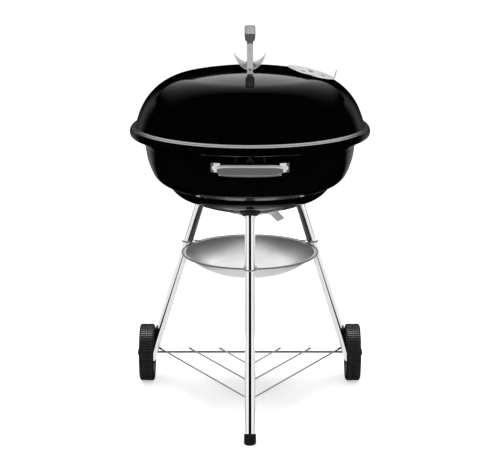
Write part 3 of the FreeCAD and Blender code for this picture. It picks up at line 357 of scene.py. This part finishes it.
class KETTLE_OT_bright_metal(bpy.types.Operator):
    """Plated legs and cooking grate"""

    bl_idname = "kettle.bright_metal"
    bl_label = "Bright metal"

    def execute(self, context):
        colours = context.scene.kettle_colours
        chrome = Finish("leg_plating", colours.chrome, metallic=1.0)
        place = chrome.place()
        drawn = chrome.noise(chrome.stretched((160.0, 160.0, 6.0)), 1.0, 2.0, 0.5)
        scuffs = chrome.noise(chrome.stretched((40.0, 40.0, 240.0)), 6.0, 4.0, 0.7).within(0.62, 0.78)
        chrome.use(roughness=drawn.between(0.03, 0.07) + scuffs * 0.1)
        chrome.use(base_color=chrome.tinted(scuffs * 0.35, (0.8, 0.8, 0.81)))
        chrome.bump(chrome.noise(place, 220.0, 2.0) + drawn * 0.3, 0.00003, 0.25)
        dress(chrome, "leg_front", "leg_left", "leg_right")
        dress(chrome, "leg_collar_front", "leg_collar_left", "leg_collar_right")
        grate = Finish("plated_wire", (0.72, 0.72, 0.73), metallic=1.0)
        soot = grate.noise(grate.place(), 26.0, 4.0, 0.6).within(0.45, 0.75)
        grate.use(roughness=soot.between(0.14, 0.4))
        grate.use(base_color=grate.tinted(soot * 0.5, (0.42, 0.41, 0.40)))
        grate.bump(grate.noise(grate.place(), 700.0, 2.0), 0.00006, 0.4)
        dress(grate, "cooking_grate")
        return {"FINISHED"}


class KETTLE_OT_brushed_metal(bpy.types.Operator):
    """Spun and brushed aluminium and steel sheet"""

    bl_idname = "kettle.brushed_metal"
    bl_label = "Brushed metal"

    def execute(self, context):
        colours = context.scene.kettle_colours
        low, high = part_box("lid_damper_rivet")
        # The bowl's damper gets a darker copy of the aluminium (0.55): painted shade.
        for name, node, centre, shade in (
            ("spun_dish", "ash_catcher", KETTLE, 1),
            ("damper_sheet_low", "bowl_damper", KETTLE, 0.55),
            ("damper_sheet_top", "lid_damper", (low + high) / 2, 1),
        ):
            finish = Finish(name, [item * shade for item in colours.aluminium], metallic=1.0)
            lines = finish.lines(finish.reach(tuple(centre)), 0.0005)
            blotch = finish.noise(finish.place(), 14.0, 3.0, 0.55).within(0.3, 0.75)
            rough = lines.between(0.24, 0.36) + blotch * 0.06
            if node == "ash_catcher":
                reach = finish.reach(tuple(centre))
                ring = reach.within(0.0925, 0.0933) * (1 - reach.within(0.0943, 0.0951))
                rim = reach.within(0.1640, 0.1650) * 0.7
                mask = blotch * 0.12 + ring * 0.3 + rim
                finish.use(base_color=finish.tinted(mask, (0.28, 0.28, 0.29)))
                rough = rough + 0.05
            else:
                stain = [item * shade for item in (0.62, 0.62, 0.635)]
                finish.use(base_color=finish.tinted(blotch * 0.35, stain))
            finish.use(roughness=rough)
            finish.bump(lines, 0.00008, 0.35)
            dress(finish, node)
        for name, node, scale in (
            ("brushed_strap", "lid_handle_strap", (2600.0, 60.0, 60.0)),
            ("brushed_shield", "lid_handle_heat_shield", (60.0, 2200.0, 60.0)),
            ("brushed_bracket", "bowl_handle_bracket", (60.0, 60.0, 2600.0)),
        ):
            finish = Finish(name, colours.steel, metallic=1.0)
            lines = finish.noise(finish.stretched(scale), 1.0, 3.0, 0.6)
            mask = lines.within(0.35, 0.7) * 0.2
            x, _, z = finish.axes(finish.place())
            if node == "lid_handle_strap":
                # Painted shadow on the strap just under the grip.
                mask = self.darkened(mask, z.within(0.9325, 0.9345) * 0.85)
            elif node == "bowl_handle_bracket":
                mask = self.darkened(mask, abs(x).within(0.0845, 0.0870) * 0.95)
            finish.use(roughness=lines.between(0.22, 0.38))
            finish.use(base_color=finish.tinted(mask, (0.06, 0.06, 0.062)))
            finish.bump(lines, 0.00006, 0.3)
            dress(finish, node)
        return {"FINISHED"}

    def darkened(self, mask, dark):
        """A mask raised to 1 where the dark channel is 1."""
        return mask * (1 - dark) + dark


class KETTLE_OT_wires(bpy.types.Operator):
    """Axle, rack, clips, charcoal grate and fasteners"""

    bl_idname = "kettle.wires"
    bl_label = "Wires and fasteners"

    def execute(self, context):
        colours = context.scene.kettle_colours
        wire = Finish("drawn_wire", [item * 0.62 for item in colours.steel], metallic=1.0)
        drawn = wire.noise(wire.stretched((90.0, 90.0, 400.0)), 4.0, 3.0, 0.6)
        wire.use(roughness=drawn.between(0.25, 0.5))
        wire.use(base_color=wire.tinted(drawn.within(0.4, 0.75) * 0.5, (0.25, 0.25, 0.255)))
        wire.bump(drawn, 0.00008, 0.4)
        dress(wire, "axle", "wire_rack")
        dress(wire, "ash_catcher_clip_front", "ash_catcher_clip_left", "ash_catcher_clip_right")
        coal = Finish("scaled_steel", (0.28, 0.275, 0.27), metallic=1.0)
        scale = coal.noise(coal.place(), 60.0, 5.0, 0.65).within(0.4, 0.7)
        coal.use(roughness=scale.between(0.35, 0.7), metallic=scale.between(1.0, 0.6))
        coal.use(base_color=coal.tinted(scale * 0.8, (0.12, 0.09, 0.075)))
        coal.bump(scale, 0.0003, 0.5)
        dress(coal, "charcoal_grate")
        bolts = Finish("plated_fasteners", colours.steel, metallic=1.0)
        wear = bolts.noise(bolts.place(), 300.0, 3.0, 0.6)
        bolts.use(roughness=wear.between(0.2, 0.42))
        bolts.use(base_color=bolts.tinted(wear.within(0.5, 0.8) * 0.5, (0.36, 0.36, 0.37)))
        bolts.bump(wear, 0.00008, 0.4)
        dress(bolts, "lid_handle_screws", "lid_handle_bolts", "bowl_handle_bolts", "lid_damper_rivet")
        dress(bolts, "bowl_damper_rivet", "axle_cap_left", "axle_cap_right")
        return {"FINISHED"}


def moulded(name, colour, grain, low, high, foot=0):
    """A moulded plastic with a fine grain and a roughness from low to high.

    If it has a foot, painted shade makes it darker upwards from its foot.
    """
    finish = Finish(name, colour, ior=1.46)
    place = finish.place()
    cells = finish.speckle(place, grain)
    flow = finish.noise(place, 18.0, 3.0, 0.5).within(0.3, 0.75)
    lighter = tuple(item * 1.5 + 0.004 for item in colour)
    finish.use(roughness=flow.between(low, high) + cells * 0.08)
    tone = flow * 0.3 + cells * 0.2
    if foot:
        # Painted shade: darker towards the top.
        tone = tone - finish.axes(place)[2].within(foot * 0.9, -foot) * 0.9
    finish.use(base_color=finish.tinted(tone, lighter))
    finish.bump(cells, 0.00012, 0.3)
    return finish


class KETTLE_OT_mouldings(bpy.types.Operator):
    """Black leg sockets and foot cap"""

    bl_idname = "kettle.mouldings"
    bl_label = "Sockets and foot"

    def execute(self, context):
        finish = moulded("black_moulding", context.scene.kettle_colours.black, 1500.0, 0.3, 0.42)
        dress(finish, "leg_socket_front", "leg_socket_left", "leg_socket_right", "foot_cap")
        return {"FINISHED"}


def drawn_in(outline, distance):
    """A closed outline of (u, v) points moved inwards by a distance."""
    count = len(outline)
    pairs = zip(outline[-1:] + outline[:-1], outline)
    turn = math.copysign(1, sum(a * d - c * b for (a, b), (c, d) in pairs))
    result = []
    for i, (u, v) in enumerate(outline):
        along = Vector(outline[(i + 1) % count]) - Vector(outline[i - 1])
        along.normalize()
        result.append((u - along.y * distance * turn, v + along.x * distance * turn))
    return result


def skinned(bm, rings):
    """Join rings of points into one closed skin."""
    loops = [[bm.verts.new(point) for point in ring] for ring in rings]
    for one, other in zip(loops, loops[1:]):
        for i in range(len(one)):
            k = (i + 1) % len(one)
            bm.faces.new((one[i], one[k], other[k], other[i]))
    bm.faces.new(loops[0][::-1])
    bm.faces.new(loops[-1])
    bmesh.ops.recalc_face_normals(bm, faces=bm.faces)


class KETTLE_OT_grips(bpy.types.Operator):
    """The arched lid grip and the bowl grip"""

    bl_idname = "kettle.grips"
    bl_label = "Grips"

    def execute(self, context):
        colours = context.scene.kettle_colours
        # The bowl grip's top is painted four times paler than the grip colour: a painted highlight.
        painted_top_grey = tuple(item * 4 for item in colours.grip)
        low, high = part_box("bowl_handle_grip")
        lid_frame = moulded("lid_grip_moulding", colours.grip, 1300.0, 0.38, 0.5)
        lid_end = moulded("lid_grip_end", colours.inset, 1600.0, 0.42, 0.52)
        bowl_painted_top = moulded("bowl_grip_painted_top", painted_top_grey, 1300.0, 0.38, 0.5)
        # The bowl grip's face gets painted shade, darker upwards under the lid's flange.
        bowl_face = moulded("bowl_grip_face", colours.inset, 1600.0, 0.42, 0.52, (low.z - high.z) / 2)
        self.bowl_grip(bowl_painted_top, bowl_face)
        self.lid_grip(lid_frame, lid_end)
        return {"FINISHED"}

    def bowl_grip(self, frame_finish, panel_finish):
        """A flat grip with a rolled front edge; its top gets a pale painted highlight and the rest the panel's
        colour.
        """
        low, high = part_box("bowl_handle_grip")
        centre = (low + high) / 2
        half_x, half_z = (high.x - low.x) / 2, (high.z - low.z) / 2
        right = [
            (0.0, 1.0),
            (0.80, 1.0),
            (0.95, 0.88),
            (1.0, 0.48),
            (1.0, -0.22),
            (0.88, -0.80),
            (0.52, -0.95),
            (0.0, -1.0),
        ]
        corners = right + [(-u, v) for u, v in right[-2:0:-1]]
        outline = rounded([(u * half_x, v * half_z) for u, v in corners], 0.006, 5)
        back = (high.y - low.y) / 2
        front = -back
        # How far the outline is drawn in, and where, from the back face round the rolled edge to the panel.
        stations = (
            (0.0012, back),
            (0.0, back - 0.0012),
            (0.0, 0.0058 + front),
            (0.0005, 0.0036 + front),
            (0.0014, 0.0018 + front),
            (0.0026, 0.0006 + front),
            (0.0036, front),
            (0.0042, front),
            (0.0046, 0.0007 + front),
        )
        rings = [[(u, y, v) for u, v in drawn_in(outline, inset)] for inset, y in stations]
        bm = bmesh.new()
        skinned(bm, rings)
        for face in bm.faces:
            # Up-facing faces take the painted highlight, the others the panel colour.
            face.material_index = 0 if face.normal.z > 0.35 else 1
        piece = piece_from(
            "bowl_handle_grip_moulded", bm, centre, frame_finish, "handle_plastic", "stand", "bowl_handle_grip"
        )
        piece.data.materials.append(panel_finish.material)

    def lid_grip(self, frame_finish, panel_finish):
        """A grip that arches along Y, with rounded ends in the panel's colour."""
        low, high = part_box("lid_handle_grip")
        centre = (low + high) / 2
        half_x, half_y = (high.x - low.x) / 2, (high.y - low.y) / 2
        height = high.z - low.z
        rise = 0.0085
        # Distance from the tip and how far the section is drawn in there.
        ends = (
            (0.0042, 0.0012),
            (0.0034, 0.0),
            (0.0028, 0.0),
            (0.0016, 0.0003),
            (0.0006, 0.0012),
            (0.0, 0.0030),
        )
        stations = [(-half_y + y, inset) for inset, y in ends]
        count = 24
        inner = half_y - 0.0050
        stations += [(-inner + 2 * inner * i / count, 0.0) for i in range(count + 1)]
        stations += [(half_y - y, inset) for inset, y in reversed(ends)]
        rings = []
        for y, inset in stations:
            share = 1 - (y / half_y) ** 2
            wide = half_x * (0.93 + 0.07 * min(1, 1.8 * share))
            top = height - rise * (1 - share)
            slim = wide * 0.90
            right = [(slim, 0.0), (wide, top * 0.55), (wide * 0.97, top)]
            section = [(-slim, 0.0)] + right + [(-u, v) for u, v in right[:0:-1]]
            section = rounded(section, 0.0062, 5)
            rings.append([(u, y, v - height / 2) for u, v in drawn_in(section, inset)])
        bm = bmesh.new()
        skinned(bm, rings)
        for face in bm.faces:
            if abs(face.normal.y) > 0.3 and face.normal.z < 0.5:
                face.material_index = 1
        piece = piece_from(
            "lid_handle_grip_moulded", bm, centre, frame_finish, "handle_plastic", "lid", "lid_handle_grip"
        )
        piece.data.materials.append(panel_finish.material)


HUB_RISE = 0.002  # how far the wheel's hub stands past its tread


class KETTLE_OT_wheels(bpy.types.Operator):
    """Wheels with ribbed treads"""

    bl_idname = "kettle.wheels"
    bl_label = "Wheels"

    def execute(self, context):
        sizes = context.scene.kettle_sizes
        for side, name in ((-1, "wheel_left"), (1, "wheel_right")):
            low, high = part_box(name)
            radius = (high.z - low.z) / 2
            inner = low.x if side > 0 else high.x
            width = abs(high.x - low.x)
            centre = Vector((inner, (low.y + high.y) / 2, radius))
            finish = moulded(f"{name}_moulding", context.scene.kettle_colours.black, 1100.0, 0.3, 0.45)
            # Rib tops are painted lighter than the grooves: a painted highlight.
            painted_rib_tops = finish.reach((0, 0, 0), "X").within(radius - 0.0014, radius - 0.0006)  # rib tops
            grain = finish.speckle(finish.place(), 700.0)
            finish.use(base_color=finish.tinted(painted_rib_tops * 0.85 + grain * 0.1, (0.02, 0.02, 0.0205)))
            bm = bmesh.new()
            tread_width = width - HUB_RISE
            self.tread(bm, sizes, radius, tread_width)
            self.webs(bm, sizes, radius, tread_width)
            if side < 0:
                bmesh.ops.scale(bm, vec=(-1, 1, 1), verts=bm.verts)
            piece_from(f"{name}_moulded", bm, centre, finish, "wheel_plastic", name, name, smooth=32)
        return {"FINISHED"}

    def tread(self, bm, sizes, radius, width):
        """Rim, disc and hub turned in one, with ribs across the tread and a groove round its middle."""
        deep = radius - sizes.groove_depth
        middle = width / 2
        rim = radius - 0.008
        profile = [
            (0.0, rim),
            (0.0, radius - 0.0045),
            (0.0008, radius - 0.0028),
            (0.0035, radius - 0.0003, radius - 0.0010),
            (0.0055, radius, deep),
            (middle - 0.0026, radius, deep),
            (middle - 0.0014, deep),
            (middle - 0.0011, radius - 0.0002),
            (middle + 0.0011, radius - 0.0002),
            (middle + 0.0014, deep),
            (middle + 0.0026, radius, deep),
            (width - 0.0055, radius, deep),
            (width - 0.0035, radius - 0.0003, radius - 0.0010),
            (width - 0.0008, radius - 0.0028),
            (width, radius - 0.0045),
            (width, rim),
            (width - 0.001, rim - 0.001),
            (width - 0.0085, rim - 0.0015),
            (width - 0.0095, rim - 0.004),
            (width - 0.0095, radius * 0.42),
            (width - 0.0075, radius * 0.40),
            (width - 0.0075, radius * 0.24),
            (width - 0.0055, 0.0145),
            (width, 0.0128),
            (width + 0.0012, 0.0118),
            (width + 0.0018, 0.0100),
            (width + 0.0018, 0.0034),
            (width - 0.0130, 0.0034),
            (width - 0.0130, 0.0120),
            (width - 0.0122, 0.0132),
            (width - 0.0118, rim - 0.005),
            (width - 0.0125, rim - 0.002),
            (0.0012, rim - 0.0006),
        ]
        # Where a rib starts and ends and its groove starts and ends, as shares of one step round the tread.
        parts = ((0.0, False), (0.56, False), (0.64, True), (0.92, True))
        steps = []
        for i in range(sizes.rib_count):
            for part, groove in parts:
                steps.append((2 * math.pi * (i + part) / sizes.rib_count, groove))
        turned_rings(bm, profile, steps)

    def webs(self, bm, sizes, radius, width):
        """Thin radial webs behind the disc, between hub and rim."""
        low_r, high_r = 0.0128, radius - 0.0092
        half_thickness = 0.0009
        for i in range(sizes.spoke_count):
            angle = 2 * math.pi * (i + 0.5) / sizes.spoke_count
            outline = [
                (width - 0.0120, low_r),
                (width - 0.0120, high_r),
                (width - 0.0165, high_r),
                (width - 0.0128, low_r + 0.012),
            ]
            ends = []
            for offset in (-half_thickness, half_thickness):
                ring = []
                for x, r in outline:
                    y = r * math.cos(angle) - offset * math.sin(angle)
                    z = r * math.sin(angle) + offset * math.cos(angle)
                    ring.append(bm.verts.new((x, y, z)))
                ends.append(ring)
            bm.faces.new(ends[0])
            bm.faces.new(ends[1][::-1])
            for j in range(len(outline)):
                k = (j + 1) % len(outline)
                bm.faces.new((ends[0][j], ends[1][j], ends[1][k], ends[0][k]))


# ---------------------------------------------------------------- studio

FLOOR_GLOW = 0.004  # height of the lights that lie on the floor

def soft_box(name, centre, aim, width, height, radiance, receivers):
    """A rectangular light of an even radiance that lights only one collection and isn't seen itself."""
    data = bpy.data.lights.new(name, "AREA")
    data.shape = "RECTANGLE"
    data.size = width
    data.size_y = height
    data.energy = radiance * math.pi * width * height
    light = bpy.data.objects.new(name, data)
    bpy.context.scene.collection.objects.link(light)
    light.location = centre
    light.rotation_euler = (Vector(aim) - Vector(centre)).to_track_quat("-Z", "Y").to_euler()
    light.visible_camera = False
    light.light_linking.receiver_collection = receivers
    return light


def card(name, corners, finish):
    """A flat glowing card that only gloss sees."""
    bm = bmesh.new()
    bm.faces.new([bm.verts.new(corner) for corner in corners])
    mesh = bpy.data.meshes.new(name)
    bm.to_mesh(mesh)
    bm.free()
    mesh.materials.append(finish.material)
    piece = bpy.data.objects.new(name, mesh)
    bpy.context.scene.collection.objects.link(piece)
    piece.visible_camera = False
    piece.visible_diffuse = False
    piece.visible_shadow = False
    return piece


def pieces(*starts):
    """The pieces whose names start in one of the given ways."""
    return [item for item in bpy.data.objects if item.type == "MESH" and item.name.startswith(starts)]


def lit(name, *starts):
    """A collection of those pieces, for a light to be linked to."""
    collection = bpy.data.collections.new(name)
    for piece in pieces(*starts):
        collection.objects.link(piece)
    return collection


class KETTLE_OT_stage(bpy.types.Operator):
    """Pale floor, soft light and camera"""

    bl_idname = "kettle.stage"
    bl_label = "Studio"

    def execute(self, context):
        scene = context.scene
        stage = scene.kettle_stage
        self.floor()
        self.sky(scene, stage)
        self.cards()
        self.lights()
        self.camera(scene, stage)
        scene.view_settings.view_transform = "Standard"
        return {"FINISHED"}

    def floor(self):
        """A matt floor with painted shade round the kettle: it gets paler away from the kettle."""
        finish = Finish("pale_floor", (0.86, 0.86, 0.86), roughness=0.9, specular_ior_level=0.0)
        # Darker floor colour near the kettle: painted shade.
        far = finish.reach((0, 0, 0)).within(0.6, 2.6)
        finish.use(base_color=finish.tinted(far, (0.98, 0.98, 0.98)))
        bm = bmesh.new()
        bmesh.ops.create_grid(bm, x_segments=8, y_segments=8, size=40)
        mesh = bpy.data.meshes.new("floor")
        bm.to_mesh(mesh)
        bm.free()
        mesh.materials.append(finish.material)
        floor = bpy.data.objects.new("floor", mesh)
        bpy.context.scene.collection.objects.link(floor)
        floor.visible_glossy = False

    def sky(self, scene, stage):
        """Even white all round, which gloss doesn't see."""
        world = bpy.data.worlds.new("even_white")
        world.use_nodes = True
        background = world.node_tree.nodes["Background"]
        background.inputs["Color"].default_value = (1, 1, 1, 1)
        background.inputs["Strength"].default_value = stage.sky
        world.cycles_visibility.glossy = False
        scene.world = world

    def cards(self):
        """An overhead card that fades towards the front and a dim one behind, both for the enamel."""
        overhead = Finish("overhead_glow", (0, 0, 0), emission_strength=1.0, specular_ior_level=0.0)
        x, y, _ = overhead.axes(overhead.place())
        half, front, rear, height = 3.6, 0.6, 4.8, 2.6
        sides = 1 - abs(x).within(-1.0, 2.9)
        depth = (y - front).maths("MAXIMUM", 0.0) * 0.25
        overhead.use(emission_color=depth * sides * 1.75)
        outline = [(-half, front), (half, front), (half, rear), (-half, rear)]
        card("overhead_card", [(*corner, height) for corner in outline], overhead)
        behind = Finish("back_glow", (0, 0, 0), emission_strength=1.0, specular_ior_level=0.0)
        x, _, z = behind.axes(behind.place())
        half, distance, foot, top = 7.5, 5.3, -2.1, 3.3
        across = abs(x)
        low_part = (1 - z.within(-1.1, 0.7)) * 0.3 * across.within(-1.0, 2.3) * z.within(-2.1, -0.95)
        high_part = across.within(2.0, 4.6) * 0.2 * z.within(-0.46, 0.7)
        behind.use(emission_color=(low_part + high_part) * (1 - across.within(3.3, 7.3)))
        outline = [(-half, foot), (half, foot), (half, top), (-half, top)]
        card("back_card", [(x, distance, z) for x, z in outline], behind)

    def lights(self):
        """Each light is linked to the pieces that it is for, so that no light spoils another's work."""
        shiny = (
            "leg_front", "leg_left", "leg_right", "leg_collar", "ash_catcher_clip", "axle", "wire",
            "lid_handle_s", "lid_handle_h", "lid_handle_b", "lid_damper", "bowl_damper",
            "bowl_handle_b", "cooking", "charcoal",
        )
        bright = lit("lit_metal", *shiny)
        low = lit("lit_low", "ash_catcher", *shiny)
        dish = bpy.data.collections.new("lit_dish")
        dish.objects.link(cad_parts["ash_catcher"])
        handles = lit("lit_handles", "lid_handle_s", "lid_handle_h", "bowl_handle_bracket")
        plastic = ("wheel", "leg_socket", "foot", "lid_handle_grip", "bowl_handle_grip")
        moulded_pieces = lit("lit_plastic", *plastic)
        ground = lit("lit_floor", "floor")
        under = lit("floor_blockers", "ash_catcher", "wire_rack", "leg_front")
        # The tent's walls stand round the grill: their aim, the height of their middle, and how tall they are.
        kettle, middle, tall = (0, 0, 0.9), 1.2, 2.3
        for side in (-1, 1):
            end = f"_{side + 1}"
            x, key_x = side * 2.25, side * 0.75
            soft_box("tent_front" + end, (side * 2.2, -1.3, middle), kettle, 3.1, tall, 0.95, bright)
            soft_box("tent_back" + end, (side * 2.0, 1.9, middle), (0, 0.1, 0.9), 2.8, tall, 0.9, bright)
            soft_box("tent_floor" + end, (x, -2.4, FLOOR_GLOW), (x, -2.4, 1), 3.5, 6.0, 0.85, low)
            key = soft_box("floor_key" + end, (key_x, -0.3, 3.2), (0, 0, 0), 1.3, 1.8, 6.4, ground)
            key.light_linking.blocker_collection = under
        soft_box("tent_floor_mid", (0, -2.4, FLOOR_GLOW), (0, -2.4, 1), 0.54, 6.0, 0.85, low)
        soft_box("tent_end", (0, 3.2, middle), kettle, 1.6, tall, 0.9, bright)
        soft_box("tent_floor_end", (0, 3.7, FLOOR_GLOW), (0, 3.7, 1), 8.0, 6.4, 0.9, low)
        soft_box("tent_top", (0, -1.4, 2.7), (0, 0, 0.6), 3.0, 1.2, 1.1, bright)
        soft_box("front_low", (0, -2.6, 0.25), kettle, 3.2, 1.6, 0.6, handles)
        soft_box("plastic_top", (0, 0.5, 2.6), (0, 0, 0.4), 2.4, 1.2, 8.0, moulded_pieces)
        soft_box("plastic_low", (0, -1.6, 0.005), (0, -1.6, 1), 3.0, 2.0, 0.35, moulded_pieces)
        for name, centre, width, height, radiance in (
            ("dish_back", (0, 1.0, 1.5), 0.9, 2.8, 0.85),
            ("dish_wide", (0, 0.6, 2.4), 6.0, 6.0, 0.08),
        ):
            glow = soft_box(name, centre, (0, 0, 0.36), width, height, radiance, dish)
            glow.light_linking.blocker_collection = dish
        unseen = (
            "leg_front", "bowl_handle", "lid_damper", "lid_handle_heat_shield",
            "cooking_grate", "charcoal_grate",
        )
        for piece in pieces(*unseen) + [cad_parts["bowl"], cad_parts["lid"]]:
            piece.visible_glossy = False

    def camera(self, scene, stage):
        data = bpy.data.cameras.new("camera")
        data.sensor_width = 36
        data.lens = stage.lens
        camera = bpy.data.objects.new("camera", data)
        scene.collection.objects.link(camera)
        camera.location = (0, KETTLE.y - stage.camera_distance, stage.camera_height)
        camera.rotation_euler = (math.pi / 2 - stage.camera_pitch, 0, 0)
        scene.camera = camera


class KETTLE_PT_panel(bpy.types.Panel):
    """Lists the kettle's settings and steps"""

    bl_label = "Kettle grill"
    bl_idname = "KETTLE_PT_panel"
    bl_space_type = "VIEW_3D"
    bl_region_type = "UI"
    bl_category = "Kettle"

    def draw(self, context):
        for name in GROUPS:
            group = getattr(context.scene, name)
            for key in group.__annotations__:
                self.layout.prop(group, key)
        for step in STEPS:
            self.layout.operator(step.bl_idname)


GROUPS = {"kettle_colours": KettleColours, "kettle_sizes": KettleSizes, "kettle_stage": KettleStage}
STEPS = (
    KETTLE_OT_enamel,
    KETTLE_OT_bright_metal,
    KETTLE_OT_brushed_metal,
    KETTLE_OT_wires,
    KETTLE_OT_mouldings,
    KETTLE_OT_grips,
    KETTLE_OT_wheels,
    KETTLE_OT_stage,
)


def register():
    for group in GROUPS.values():
        bpy.utils.register_class(group)
    for step in STEPS:
        bpy.utils.register_class(step)
    bpy.utils.register_class(KETTLE_PT_panel)
    for key, group in GROUPS.items():
        setattr(bpy.types.Scene, key, PointerProperty(type=group))


def unregister():
    for key in GROUPS:
        delattr(bpy.types.Scene, key)
    bpy.utils.unregister_class(KETTLE_PT_panel)
    for step in reversed(STEPS):
        bpy.utils.unregister_class(step)
    for group in GROUPS.values():
        bpy.utils.unregister_class(group)


def main():
    register()
    for step in STEPS:
        category, action = step.bl_idname.split(".")
        getattr(getattr(bpy.ops, category), action)()


if __name__ == "__main__":
    main()
